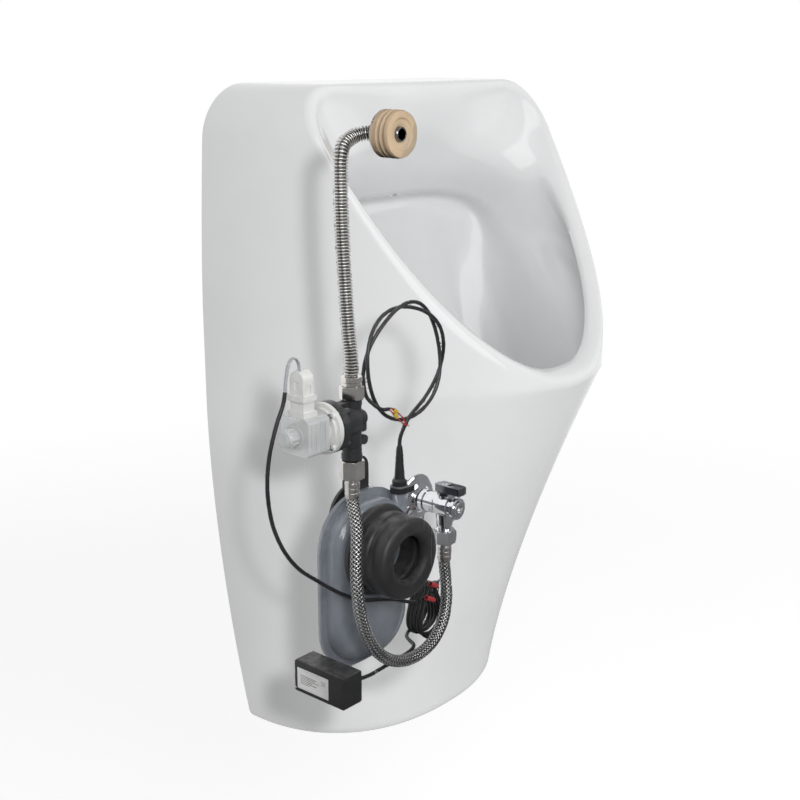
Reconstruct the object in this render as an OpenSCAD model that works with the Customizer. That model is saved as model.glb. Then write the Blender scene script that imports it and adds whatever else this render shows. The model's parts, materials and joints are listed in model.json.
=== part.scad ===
// Wall-hung sensor urinal: a vitreous china bowl, open at the back, with its flush
// valve, flat trap, angle valve, sensor and control box in the hollow behind the bowl.
// Millimetres. +Z is up, the front faces -Y and the wall is the plane Y = 0.
// The origin is midway between the two fixing screws, on the wall.
// Heights called _z are above the foot of the china, distances called _out are from the wall.

/* [China] */
// Height of the china
body_h = 600; // [580:1:640]
// Greatest width of the china
body_w = 368; // [350:1:390]
// Width of the china at its top, against the wall
top_w = 348; // [330:1:360]
// Width of the china at its foot, against the wall
base_w = 288; // [270:1:310]
// Depth of the china from the wall to the lip
body_d = 264; // [250:1:285]
// Depth of the foot from the wall
base_d = 130; // [122:1:145]
// Height of the lip above the foot
lip_z = 354; // [345:1:365]
// Thickness of the china walls
wall_t = 12; // [11:0.5:13]
// Radius of the upper corners
corner_r = 45; // [35:1:55]
// Radius of the edge round the foot
foot_r = 12; // [8:1:16]
// Height of the front edge of the top
crest_z = 585; // [580:1:590]
// Distance of the front edge of the top from the wall
crest_out = 98; // [94:1:102]
// Height of the arch over the bowl
arch_z = 500; // [490:1:508]
// Width of the bowl inside the arch
bowl_w = 244; // [230:1:250]

/* [Water inlet] */
// Height of the water inlet in the china
inlet_z = 553; // [550:1:556]
// Diameter of the inlet seal
seal_d = 44; // [40:0.5:46]
// Diameter of the nickel spud in the seal
spud_d = 14; // [12:0.5:16]
// Outside diameter of the ribbed hose over its ribs
ribbed_d = 14.4; // [12:0.2:16]
// Distance from one rib to the next
rib_pitch = 2.7; // [2.4:0.1:3.4]

/* [Flush valve] */
// Height of the axis of the solenoid
solenoid_z = 285; // [275:1:295]
// Diameter of the diaphragm cover
cover_d = 50; // [44:1:52]
// Travel of the armature
armature_travel = 3; // [2:0.5:4]
// Diameter of the armature
armature_d = 10; // [8:0.5:12]
// Width of the solenoid coil
coil_w = 36; // [30:1:38]
// Width across the flats of the hose nuts
nut_flats = 22; // [19:0.5:24]

/* [Trap] */
// Width of the trap over its welded flange
trap_w = 124; // [110:1:128]
// Height of the trap over its flange
trap_h = 186; // [176:1:188]
// Thickness of the trap shells
trap_wall = 2.5; // [2:0.25:3]
// Outside diameter of the waste outlet
outlet_d = 50; // [40:1:50]
// Length of the waste outlet behind the wall face
outlet_reach = 45; // [30:1:60]
// Outside diameter of the rubber cuff
cuff_d = 84; // [80:1:90]
// Outside diameter of the waste spigot of the china
spigot_d = 45; // [40:0.5:46]

/* [Angle valve] */
// Distance of the angle valve from the middle of the china
angle_x = 102; // [98:1:106]
// Height of the angle valve above the foot
angle_z = 162; // [156:1:166]
// Diameter of the wall rose
rose_d = 52; // [46:1:56]
// Diameter of the threaded inlet tail, G 1/2
tail_d = 20.95; // [20:0.05:21]
// Length of the lever
lever_l = 24; // [20:1:28]

/* [Cords] */
// Diameter of the braided hose
braid_d = 13; // [11:0.5:14]
// Diameter of the sensor cable and the solenoid lead
lead_d = 4; // [3.4:0.1:4.4]
// Radius of the sensor cable's loop
loop_r = 58; // [54:1:60]

/* [Control box] */
// Width of the control box
box_w = 26; // [24:1:30]
// Depth of the control box, out from the wall
box_l = 66; // [60:1:72]
// Height of the control box
box_h = 33; // [28:1:38]

/* [Hidden] */

// Clearance between pieces that pass by or slip into each other
gap = 0.3;
// Radial clearance of a running shaft
run = 0.05;
// Height of the waste outlet's axis above the foot
outlet_z = 172;
// Hooks on the wall that carry the china, and the height of their screws
hook_x = 128;
hook_w = 32;
hook_t = 4;
hook_z = body_h - 55;
hook_gap = 9;
screw_r = 4;
screw_l = 35;
fix_z = hook_z + 28;
// Sides of a cord's section
cord_n = 8;

function cl(v, a, b) = max(a, min(b, v));
function mix(a, b, u) = a + (b - a) * u;
function unit(v) = v / norm(v);
function at(x, out, z) = [x, -out, z];
module in_frame() {
    translate([0, 0, -fix_z]) children();
}
// Wires of the coil
coil_wire_d = 1.6;
coil_wire_apart = 2.4;
// A cylinder that stands out from the wall, from out1 to out2
module out_cyl(r, out1, out2, r2 = -1, fn = 64) {
    translate([0, -out1, 0])
        rotate([90, 0, 0])
            cylinder(h = out2 - out1, r1 = r, r2 = r2 < 0 ? r : r2, $fn = fn);
}
// A cylinder along X, from x1 to x2
module side_cyl(r, x1, x2, r2 = -1, fn = 64) {
    translate([x1, 0, 0])
        rotate([0, 90, 0])
            cylinder(h = x2 - x1, r1 = r, r2 = r2 < 0 ? r : r2, $fn = fn);
}
// A hexagonal prism with the width flats across its flats
module hex(flats, h) {
    cylinder(h = h, r = flats / sqrt(3), $fn = 6);
}
// A rectangle with rounded corners, as an exact outline
module round_rect(w, h, r) {
    square([w - 2 * r, h], center = true);
    square([w, h - 2 * r], center = true);
    for (x = [-1, 1]) {
        for (y = [-1, 1]) {
            translate([x * (w / 2 - r), y * (h / 2 - r)]) circle(r, $fn = 48);
        }
    }
}

// Rings of equal length joined into one closed skin, with flat ends or as a closed ring
module skin(rings, ends = true) {
    n = len(rings[0]);
    k = len(rings);
    spans = ends ? k - 1 : k;
    pts = [for (r = rings) for (p = r) p];
    sides_a = [for (j = [0:spans - 1]) for (i = [0:n - 1])
        [j * n + i, (j + 1) % k * n + i, (j + 1) % k * n + (i + 1) % n]];
    sides_b = [for (j = [0:spans - 1]) for (i = [0:n - 1])
        [j * n + i, (j + 1) % k * n + (i + 1) % n, j * n + (i + 1) % n]];
    caps = ends
        ? [[for (i = [0:n - 1]) i], [for (i = [n - 1:-1:0]) (k - 1) * n + i]]
        : [];
    polyhedron(pts, concat(sides_a, sides_b, caps), convexity = 10);
}
// Point u from 0 to 1 along the smooth curve between b and c, with neighbours a and d
function curve(a, b, c, d, u) =
    0.5 * (2 * b + (c - a) * u + (2 * a - 5 * b + 4 * c - d) * u * u
    + (3 * b - a - 3 * c + d) * u * u * u);
// A smooth route through hand-chosen points, with k steps a span
function route(p, k) = let (m = len(p) - 1) concat(
    [for (i = [0:m - 1]) for (j = [0:k - 1])
        curve(p[max(i - 1, 0)], p[i], p[i + 1], p[min(i + 2, m)], j / k)],
    [p[m]]);
function tangents(p) = [for (i = [0:len(p) - 1])
    unit(p[min(i + 1, len(p) - 1)] - p[max(i - 1, 0)])];
// Normals that turn as little as they can along the route
function normals(t, first) = [
    for (i = 0, n = unit(first - (first * t[0]) * t[0]); i < len(t);
        i = i + 1, n = i < len(t) ? unit(n - (n * t[i]) * t[i]) : n) n];
// Rings of k sides along a route, with the radius radii[i] at each point
function tube_rings(p, radii, k, first) =
    let (t = tangents(p), n = normals(t, first))
    [for (i = [0:len(p) - 1]) let (b = cross(t[i], n[i]))
        [for (j = [0:k - 1]) p[i] + radii[i] * (cos(360 * j / k) * n[i] + sin(360 * j / k) * b)]];
function same(r, p) = [for (i = [0:len(p) - 1]) r];
module cord(p, d, k = cord_n, first = [0, 1, 0]) {
    skin(tube_rings(p, same(d / 2, p), k, first));
}
function lengths(p, i = 0, sum = 0) =
    i >= len(p) - 1 ? [sum] : concat([sum], lengths(p, i + 1, sum + norm(p[i + 1] - p[i])));
// Points an equal distance apart on a route
function even(p, n) = let (s = lengths(p), total = s[len(s) - 1])
    [for (i = [0:n]) let (g = total * i / n,
        j = min(max([for (q = [0:len(s) - 1]) if (s[q] <= g + 0.0001) q]), len(p) - 2),
        u = (g - s[j]) / (s[j + 1] - s[j])) mix(p[j], p[j + 1], u)];

// China: half width and depth at a height, with the rounded edges of top and foot
full_z = 330;
waist_z = 410;
lean_k = 0.6;
sweep_k = 0.00047;
foot_e = 2.3;
belly_e = 2.05;
function round_in(over, r) = r - sqrt(r * r - pow(cl(over, 0, r), 2));
function half_w(z) =
    body_w / 2
    - (body_w - base_w) / 2 * pow(max(full_z - z, 0) / full_z, 1.7)
    - (body_w - top_w) / 2 * pow(max(z - waist_z, 0) / (body_h - waist_z), 1.5)
    - round_in(z - body_h + corner_r, corner_r)
    - round_in(foot_r - z, foot_r);
function depth(z) =
    base_d + (body_d - base_d) * pow(cl(z / lip_z, 0, 1), 1.42) - round_in(foot_r - z, foot_r);
function plan_e(z) = mix(foot_e, belly_e, cl(z / lip_z, 0, 1));
// Side view of the rim: its distance from the wall at a height
function rim_out(z) = crest_out + lean_k * (crest_z - z) + sweep_k * pow(crest_z - z, 2);
function in_skin(x, y, z) = z >= 0 && z <= body_h
    && pow(abs(x) / half_w(z), plan_e(z)) + pow(abs(y) / depth(z), plan_e(z)) < 1;
// Largest radius from the ring's middle that is still inside the china, by halving
function reach(t, a, zc, lo, hi, k) =
    k == 0 ? lo :
    let (m = (lo + hi) / 2, z = zc + m * sin(a))
    in_skin(m * cos(a), t * rim_out(cl(z, 0, body_h)), z)
        ? reach(t, a, zc, m, hi, k - 1) : reach(t, a, zc, lo, m, k - 1);
// A ring runs round the china where its side view is t times the rim's, 0 at the wall, 1 at the rim
mid_z = body_h / 2;
rim_mid_z = 480;
function ring_zc(t) = mix(mid_z, rim_mid_z, t);
low_n = 6;
side_n = 16;
high_n = 6;
half_n = low_n + side_n + high_n;
ring_n = 2 * half_n;
function foot_x(t) =
    base_w / 2 * pow(max(1 - pow(t * rim_out(0) / base_d, foot_e), 0.02), 1 / foot_e);
function low_a(t, u) = mix(atan2(foot_r / 3 - ring_zc(t), foot_x(t) - foot_r / 3), -40, u);
function high_a(t) = atan2(body_h - corner_r * 0.29 - ring_zc(t),
    top_w / 2 - corner_r * 0.29 - 25 * t * t);
function half_a(t, k) =
    let (u = cl((t - 0.17) / 0.35, 0, 1), al = low_a(t, u), ah = high_a(t))
    k <= low_n ? mix(-90, al, mix(sin(90 * k / low_n), k / low_n, u)) :
    k <= low_n + side_n ?
        let (f = (k - low_n) / side_n)
        mix(al, ah, mix((1 - cos(180 * f)) / 2, sin(90 * f), u)) :
    mix(ah, 90, 1 - cos(90 * (k - low_n - side_n) / high_n));
function ray_a(t, i) = i <= half_n ? half_a(t, i) : 180 - half_a(t, ring_n - i);
// A ring of the outer skin, drawn in by inset and pushed square to the rim
function skin_ring(t, inset = 0, push = 0) = [
    for (i = [0:ring_n - 1])
        let (a = ray_a(t, i), r = reach(t, a, ring_zc(t), 0, 420, 18) - inset,
             z = ring_zc(t) + r * sin(a))
        at(r * cos(a), t * rim_out(z) + push * 0.8, z + push * 0.6)];
// Oval rings of the bowl. Each row: half width, then the heights of the middle, top and
// bottom, then the distances of top and bottom from the wall, sag, and squareness of top
// and bottom
bh = bowl_w / 2;
bowl = [
    [bh - 98, 320, 345, 300, 66, 80, 0, 2, 2],
    [bh - 76, 322, 372, 268, 56, 94, 0, 2, 2],
    [bh - 52, 330, 400, 244, 50, 112, 0, 2.1, 2],
    [bh - 30, 342, 432, 230, 47, 136, -4, 2.4, 2],
    [bh - 14, 372, 462, 246, 48, 172, -10, 2.7, 2],
    [bh - 5, 420, arch_z - 17, 290, 50, 206, -18, 3, 2],
    [bh - 1, 446, arch_z - 6, 326, 50, 228, -20, 3.2, 2],
    [bh, 455, arch_z, lip_z - 9, 62, 242, -18, 3.2, 2],
    [bh + 2, 458, arch_z + 6, lip_z - 4, 66, 246, -14, 3.2, 2],
    [bh + 12, 470, arch_z + 50, lip_z - 1, 86, 253, -4, 3.2, 2]];
function oval_r(c, s, w, h, e) = pow(pow(abs(c) / w, e) + pow(abs(s) / h, e), -1 / e);
function bowl_ring(b, grow, back) = [
    for (i = [0:ring_n - 1])
        let (a = ray_a(1, i), c = cos(a), s = sin(a),
             h = (s > 0 ? b[2] - b[1] : b[1] - b[3]) + grow,
             r = oval_r(c, s, b[0] + grow, h, s > 0 ? b[7] : b[8]),
             z = b[1] + r * s, t = (z - b[3] + grow) / (b[2] - b[3] + 2 * grow))
        at(r * c, mix(b[5], b[4], t) + b[6] * 4 * t * (1 - t) - back, z)];
outer_steps = [0.99, 0.96, 0.9, 0.8, 0.68, 0.56, 0.46, 0.38, 0.31, 0.26, 0.23, 0.212,
    0.2, 0.19, 0.17, 0.14, 0.09, 0.04, 0];
inner_steps = [0.1, 0.2, 0.3, 0.4, 0.55, 0.7, 0.82];
back_edge = wall_t + 2;
bowl_back = wall_t - 1;
bowl_middle_out = 73;
bowl_middle_z = 321;
china_rings = concat(
    [[for (i = [0:ring_n - 1]) let (a = ray_a(1, i))
        at(3 * cos(a), bowl_middle_out, bowl_middle_z + 3 * sin(a))]],
    [for (b = bowl) bowl_ring(b, 0, 0)],
    [skin_ring(1, 15, -3), skin_ring(1, 9, 2), skin_ring(1, 4, 3)],
    [for (t = outer_steps) skin_ring(t)],
    [skin_ring(0, back_edge), skin_ring(0.03, wall_t)],
    [for (t = inner_steps) skin_ring(t, wall_t)],
    [skin_ring(0.86, 22)],
    [for (i = [6:-1:0]) bowl_ring(bowl[i], bowl_back, bowl_back)],
    [[for (i = [0:ring_n - 1]) let (a = ray_a(1, i))
        at(3 * cos(a), bowl_middle_out - bowl_back, bowl_middle_z + 3 * sin(a))]]);

// Inlet socket in the back of the front panel
socket_out = 52;
socket_end = 74;
socket_r = seal_d / 2 + gap / 2;
socket_wall = 8;
flush_r = 4.5;
flush_out = 56;
// Waste: a well under the bowl and a spigot that points back into the cuff
cuff_z = 143;
well_out = 118;
well_r = 31;
well_wall = 8;
well_top = 236;
spigot_end = 60;
spigot_wall = 6;
// Rib that hangs on each hook
hook_plate_h = 36;
hook_play = 1.5;
rib_z = hook_z + hook_t;
rib_h = 14;
rib_in = 39;
rib_end = half_w(rib_z + rib_h) - wall_t / 2;
rib_depth = hook_gap - 1.5;

module china_shell() {
    skin([for (i = [len(china_rings) - 1:-1:0]) china_rings[i]]);
}
module ceramic_body() {
    color("white") in_frame() difference() {
        union() {
            china_shell();
            translate([0, 0, inlet_z])
                out_cyl(socket_r + socket_wall, socket_out, socket_end - 4);
            translate([0, -well_out, cuff_z - well_r])
                cylinder(h = well_top - cuff_z + well_r, r = well_r, $fn = 64);
            translate([0, 0, cuff_z]) out_cyl(spigot_d / 2, spigot_end, well_out);
            for (s = [-1, 1]) {
                translate([s * (rib_end + hook_x - rib_in) / 2, -hook_t - hook_gap / 2,
                    rib_z + rib_h / 2])
                    cube([rib_end - hook_x + rib_in, rib_depth, rib_h], center = true);
            }
        }
        translate([0, 0, inlet_z]) out_cyl(socket_r, socket_out - 5, socket_end - 5);
        translate([0, -flush_out, arch_z - 12])
            cylinder(h = inlet_z - 16 - arch_z + 12, r = flush_r, $fn = 32);
        translate([0, -well_out, cuff_z - well_r + well_wall])
            cylinder(h = 130, r = well_r - well_wall, $fn = 64);
        translate([0, 0, cuff_z])
            out_cyl(spigot_d / 2 - spigot_wall, spigot_end - 1, well_out);
    }
}
// Steel hooks on the wall that the china hangs on
module hanger_hooks() {
    color("silver") in_frame() for (s = [-1, 1]) {
        translate([s * hook_x, 0, 0]) difference() {
            union() {
                translate([-hook_w / 2, -hook_t, hook_z])
                    cube([hook_w, hook_t, hook_plate_h]);
                translate([-hook_w / 2, -hook_t * 2 - hook_gap, hook_z])
                    cube([hook_w, hook_t * 2 + hook_gap, hook_t]);
                translate([-hook_w / 2, -hook_t * 2 - hook_gap, hook_z])
                    cube([hook_w, hook_t, hook_t * 3]);
            }
            translate([0, 0, fix_z]) out_cyl(screw_r + hook_play, -1, hook_t + 1);
        }
    }
}
module hanger_screws() {
    color("gainsboro") in_frame() for (s = [-1, 1]) {
        translate([s * hook_x, 0, fix_z]) {
            out_cyl(screw_r, -screw_l, hook_t + 1);
            out_cyl(screw_r * 1.9, hook_t, hook_t + 1.4);
            translate([0, -hook_t - 1.4, 0]) rotate([90, 0, 0]) hex(screw_r * 3, 3);
        }
    }
}

// Rubber inlet seal in its socket: stepped rim, grooved sleeve and a bore for the spud
seal_r = seal_d / 2;
seal_out = socket_out - 6;
seal_end = socket_end - 5.5;
module inlet_seal() {
    color("tan") in_frame() translate([0, 0, inlet_z]) rotate([90, 0, 0])
        rotate_extrude($fn = 72) polygon([
            [spud_d / 2, seal_out + 2], [spud_d / 2 + 4, seal_out], [seal_r - 2, seal_out],
            [seal_r, seal_out + 2], [seal_r, seal_out + 9], [seal_r - 1.5, seal_out + 10],
            [seal_r - 1.5, seal_out + 12.5], [seal_r, seal_out + 14], [seal_r, seal_end - 8],
            [seal_r - 1.5, seal_end - 7], [seal_r - 1.5, seal_end - 4],
            [seal_r, seal_end - 3], [seal_r - 1, seal_end], [seal_r - 7, seal_end],
            [seal_r - 8.5, seal_end - 1.5], [spud_d / 2 + 3, seal_end - 1.5],
            [spud_d / 2, seal_end - 3]]);
}
spud_out = seal_out - 10;
module inlet_spud() {
    color("silver") in_frame() translate([0, 0, inlet_z]) rotate([90, 0, 0])
        rotate_extrude($fn = 48) polygon([
            [spud_d / 2 - 2, spud_out], [spud_d / 2 + 1.5, spud_out],
            [spud_d / 2 + 1.5, seal_out - gap], [spud_d / 2 - gap / 6, seal_out - gap],
            [spud_d / 2 - gap / 6, seal_end - 1], [spud_d / 2 - 0.8, seal_end],
            [spud_d / 2 - 2, seal_end]]);
}

// Ribbed steel hose from the spud down to the valve, in line with the column
column_x = -34;
column_out = 34;
hose_top_out = 26;
collar_z = 323;
collar_h = 5;
upper_nut_z = 306;
upper_nut_h = 11;
ribbed_route = [
    at(0, spud_out - 0.5, inlet_z), at(0, spud_out - 4, inlet_z), at(-1.5, 28, inlet_z - 0.3),
    at(-6, 22.5, inlet_z - 1.5),
    at(-14, 19, inlet_z - 4), at(-26, 20, inlet_z - 10), at(-32, 22, inlet_z - 20),
    at(-34, 23, 515), at(-34, 24, 470), at(-34, 27, 420), at(-34, 31, 370),
    at(-34, 34, 345), at(column_x, column_out, collar_z + collar_h + gap)];
ribbed_bore = ribbed_d / 2 - 2.2;
ribbed_flat = 2;
module ribbed_hose() {
    path = route(ribbed_route, 8);
    long = lengths(path);
    total = long[len(long) - 1];
    ribs = floor(total / rib_pitch);
    p = even(path, 2 * ribs);
    m = len(p);
    r = [for (i = [0:m - 1])
        i < ribbed_flat || i >= m - ribbed_flat ? ribbed_d / 2 - 0.7 :
        i % 2 == 0 ? ribbed_d / 2 - 1.1 : ribbed_d / 2];
    q = even(path, 44);
    outer = tube_rings(p, r, 8, [1, 0, 0]);
    inner = tube_rings(q, same(ribbed_bore, q), 8, [1, 0, 0]);
    echo(hose_length = total, ribs = ribs);
    color("silver") in_frame()
        skin(concat(outer, [for (i = [len(inner) - 1:-1:0]) inner[i]]), false);
}
module ribbed_hose_collar() {
    color("silver") in_frame() translate([column_x, -column_out, 0]) difference() {
        union() {
            translate([0, 0, collar_z]) cylinder(h = collar_h, r = 10.5, $fn = 48);
            translate([0, 0, collar_z - 4]) cylinder(h = 4, r = 9.5, $fn = 48);
        }
        translate([0, 0, collar_z - 5]) cylinder(h = 12, r = 5, $fn = 48);
    }
}
thread_r = 6.5;
module nut_ring(z, h, bore) {
    translate([0, 0, z]) difference() {
        intersection() {
            hex(nut_flats, h);
            union() {
                cylinder(h = h / 2, r1 = nut_flats / 2 - 0.2, r2 = nut_flats / 2 + h, $fn = 48);
                translate([0, 0, h / 2])
                    cylinder(h = h / 2, r1 = nut_flats / 2 + h, r2 = nut_flats / 2 - 0.2, $fn = 48);
            }
        }
        translate([0, 0, -1]) cylinder(h = h + 2, r = bore, $fn = 48);
    }
}
module upper_nut() {
    color("lightgray") in_frame() translate([column_x, -column_out, 0]) difference() {
        nut_ring(upper_nut_z, upper_nut_h + 2, thread_r + 0.1);
        translate([0, 0, collar_z - 4.3]) cylinder(h = 5, r = 9.7, $fn = 48);
    }
}
module upper_washer() {
    color("dimgray") in_frame() translate([column_x, -column_out, 0]) difference() {
        translate([0, 0, collar_z - 4 - 1.6]) cylinder(h = 1.6, r = thread_r + 0.05, $fn = 48);
        translate([0, 0, collar_z - 7]) cylinder(h = 5, r = 4.5, $fn = 48);
    }
}

// Plastic valve body: column, diaphragm chamber on the left and lugs on the right
valve_top_z = collar_z - 5.6;
valve_bottom_z = 236;
chamber_r = cover_d / 2;
chamber_x = -64;
chamber_t = 5;
bore_r = 4.6;
module at_solenoid() {
    translate([0, -column_out, solenoid_z]) children();
}
screw_ring = chamber_r - 3.2;
module valve_body() {
    color("#222426") in_frame() difference() {
        union() {
            translate([column_x, -column_out, 0]) {
                translate([0, 0, valve_top_z - 12]) cylinder(h = 12, r = thread_r, $fn = 48);
                translate([0, 0, valve_bottom_z + 10])
                    cylinder(h = upper_nut_z - gap - valve_bottom_z - 10, r = 9.5, $fn = 48);
                translate([0, 0, upper_nut_z - 6]) cylinder(h = 5.7, r = 10.3, $fn = 48);
                translate([0, 0, valve_bottom_z + 10]) cylinder(h = 5, r = 10.3, $fn = 48);
                translate([0, 0, valve_bottom_z]) cylinder(h = 12, r = thread_r, $fn = 48);
                for (k = [0:2]) {
                    translate([0, 0, valve_bottom_z + 15 + 4 * k])
                        cylinder(h = 1.2, r = 10, $fn = 48);
                }
            }
            at_solenoid() {
                side_cyl(15, chamber_x, column_x);
                side_cyl(chamber_r, chamber_x - chamber_t, chamber_x + 3);
                side_cyl(7.5, column_x, column_x + 15);
                for (a = [45:90:315]) {
                    rotate([a, 0, 0]) translate([0, 0, screw_ring])
                        side_cyl(3.6, chamber_x - chamber_t + 0.5, chamber_x + 9);
                }
            }
            translate([column_x + 8, -column_out - 4, solenoid_z - 14]) cube([9, 8, 9]);
            translate([column_x + 13, -column_out, solenoid_z - 22]) rotate([90, 0, 0])
                cylinder(h = 10, r = 5, center = true, $fn = 40);
            translate([column_x, -column_out - 3, solenoid_z - 26]) cube([13, 6, 7]);
            translate([chamber_x, -column_out - 5, solenoid_z + 8]) cube([24, 10, 12]);
        }
        translate([column_x, -column_out, solenoid_z - 2])
            cylinder(h = 60, r = bore_r, $fn = 40);
        translate([column_x, -column_out, valve_bottom_z - 1])
            cylinder(h = solenoid_z - valve_bottom_z - 12, r = bore_r, $fn = 40);
        at_solenoid() {
            side_cyl(chamber_r - 8, chamber_x - chamber_t - 1, chamber_x - 1);
            side_cyl(6, chamber_x - 6, column_x + 3);
            for (a = [45:90:315]) {
                rotate([a, 0, 0]) translate([0, 0, screw_ring])
                    side_cyl(1.52, chamber_x - chamber_t - 1, chamber_x + 4, fn = 24);
            }
        }
    }
}
diaphragm_t = 1.6;
diaphragm_x = chamber_x - chamber_t;
module diaphragm() {
    color("#3a3a3a") in_frame() at_solenoid() difference() {
        union() {
            side_cyl(chamber_r - 0.4, diaphragm_x - diaphragm_t, diaphragm_x);
            side_cyl(8, diaphragm_x, diaphragm_x + 3);
        }
        for (a = [45:90:315]) {
            rotate([a, 0, 0]) translate([0, 0, screw_ring])
                side_cyl(2, diaphragm_x - 3, diaphragm_x + 4, fn = 24);
        }
        side_cyl(1, diaphragm_x - 3, diaphragm_x + 4, fn = 24);
    }
}
// Cover of the pilot chamber, with the four screws through its lugs
cover_x = diaphragm_x - diaphragm_t;
cover_t = 11;
tube_r = armature_d / 2 + 1;
module diaphragm_cover() {
    color("white") in_frame() at_solenoid() difference() {
        union() {
            side_cyl(chamber_r, cover_x - 5, cover_x);
            side_cyl(chamber_r - 4, cover_x - 8, cover_x - 5, chamber_r - 4);
            side_cyl(chamber_r - 9, cover_x - cover_t, cover_x - 8);
            for (a = [45:90:315]) {
                rotate([a, 0, 0]) translate([0, 0, screw_ring])
                    side_cyl(3.6, cover_x - 8, cover_x);
            }
        }
        side_cyl(chamber_r - 9, cover_x - 2, cover_x + 1);
        side_cyl(tube_r, cover_x - cover_t - 1, cover_x);
        for (a = [45:90:315]) {
            rotate([a, 0, 0]) translate([0, 0, screw_ring])
                side_cyl(1.7, cover_x - 9, cover_x + 1, fn = 24);
        }
    }
}
module cover_screws() {
    color("silver") in_frame() at_solenoid() for (a = [45:90:315]) {
        rotate([a, 0, 0]) translate([0, 0, screw_ring]) difference() {
            union() {
                side_cyl(1.5, cover_x - 8, diaphragm_x + 8, fn = 24);
                side_cyl(3, cover_x - 10.2, cover_x - 8, fn = 32);
            }
            for (r = [0, 90]) {
                rotate([r, 0, 0]) translate([cover_x - 10.7, -0.4, -2]) cube([1.6, 0.8, 4]);
            }
        }
    }
}
// Solenoid: a closed tube with the armature and its spring inside, and the coil over it
coil_x = cover_x - cover_t;
coil_l = 30;
tube_end_x = coil_x - coil_l - 11;
module solenoid_tube() {
    color("silver") in_frame() at_solenoid() difference() {
        union() {
            side_cyl(tube_r - 0.02, tube_end_x, cover_x - 1);
            side_cyl(chamber_r - 9.5, cover_x - 2, cover_x - 1);
        }
        side_cyl(armature_d / 2 + run, tube_end_x + 9, cover_x + 1);
    }
}
winding_r = 13;
module coil_winding() {
    color("#b06a3a") in_frame() at_solenoid() difference() {
        side_cyl(winding_r, coil_x - coil_l + 4, coil_x - 4);
        side_cyl(tube_r + 1.5, coil_x - coil_l, coil_x);
    }
}
module coil_housing() {
    color("#c3d0dc") in_frame() at_solenoid() difference() {
        union() {
            translate([coil_x - coil_l / 2, 0, 0]) rotate([0, 90, 0])
                linear_extrude(height = coil_l - 2, center = true)
                    round_rect(coil_w, coil_w, 5);
            side_cyl(tube_r + 6, coil_x - coil_l, coil_x);
            for (k = [0:3]) {
                translate([coil_x - 6 - 6 * k - 1, -coil_w / 2 - 0.8, -coil_w / 2 + 4])
                    cube([2, coil_w + 1.6, coil_w - 8]);
            }
        }
        side_cyl(winding_r + 0.3, coil_x - coil_l + 3.7, coil_x - 3.7);
        side_cyl(tube_r + 0.1, coil_x - coil_l - 1, coil_x + 1);
    }
}
module coil_knob() {
    color("#dfe6ec") in_frame() at_solenoid() difference() {
        union() {
            side_cyl(8, coil_x - coil_l - 12.2, coil_x - coil_l - 0.1);
            side_cyl(6, coil_x - coil_l - 13.4, coil_x - coil_l - 12);
            for (a = [0:30:330]) {
                rotate([a, 0, 0]) translate([0, 0, 8])
                    side_cyl(0.9, coil_x - coil_l - 8, coil_x - coil_l - 1, fn = 16);
            }
        }
        side_cyl(tube_r + 0.02, tube_end_x - 0.1, coil_x - coil_l + 1);
    }
}
// The armature rests on the pilot seat and is drawn up by the coil
armature_l = 22;
armature_x = cover_x - 1.5;
module armature() {
    color("gray") in_frame() at_solenoid() difference() {
        union() {
            side_cyl(armature_d / 2, armature_x - armature_l, armature_x);
            side_cyl(1.6, armature_x, armature_x + 1.2);
        }
        side_cyl(2.9, armature_x - armature_l - 1, armature_x - armature_l + 6, fn = 40);
    }
}
spring_wire = 0.8;
spring_r = 2.3;
spring_turns = 6;
spring_x = armature_x - armature_l + 6 - 0.3;
spring_end_x = tube_end_x + 9.3;
module armature_spring() {
    l = spring_x - spring_end_x - spring_wire;
    p = [for (i = [0:spring_turns * 8]) let (u = i / (spring_turns * 8))
        [spring_end_x + spring_wire / 2 + l * u,
         spring_r * cos(360 * spring_turns * u),
         spring_r * sin(360 * spring_turns * u)]];
    color("silver") in_frame() at_solenoid() cord(p, spring_wire, 6, [0, 1, 0]);
}

// Terminal housing on the coil: a tall moulding with a round top and stepped ribs
term_w = 14;
term_t = 17;
term_x = coil_x - coil_l / 2 - 3;
term_bottom_z = solenoid_z + coil_w / 2 + gap / 3;
term_top_z = 346;
module terminal_housing() {
    h = term_top_z - term_bottom_z;
    color("#f2f4f6") in_frame() translate([term_x, -column_out, term_bottom_z])
        difference() {
            union() {
                translate([-term_w / 2, 0, 0]) rotate([90, 0, 90])
                    linear_extrude(height = term_w) {
                        translate([-term_t / 2, 0]) square([term_t, h - term_t / 2]);
                        translate([0, h - term_t / 2]) circle(term_t / 2, $fn = 64);
                    }
                for (z = [0, 15]) {
                    translate([-term_w / 2 - 2, -term_t / 2 - 2, z])
                        cube([term_w + 4, term_t + 4, 5]);
                }
            }
            translate([-3, -term_t / 2 - 3, 22]) cube([6, 4, 8]);
            translate([-term_w / 2 - 3, -3, 24]) cube([4, 6, 9]);
            for (k = [0, 1]) {
                translate([-3, (k - 0.5) * coil_wire_apart, h - 9])
                    cylinder(h = 12, r = coil_wire_d / 2 + 0.2, $fn = 24);
            }
        }
}

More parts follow.
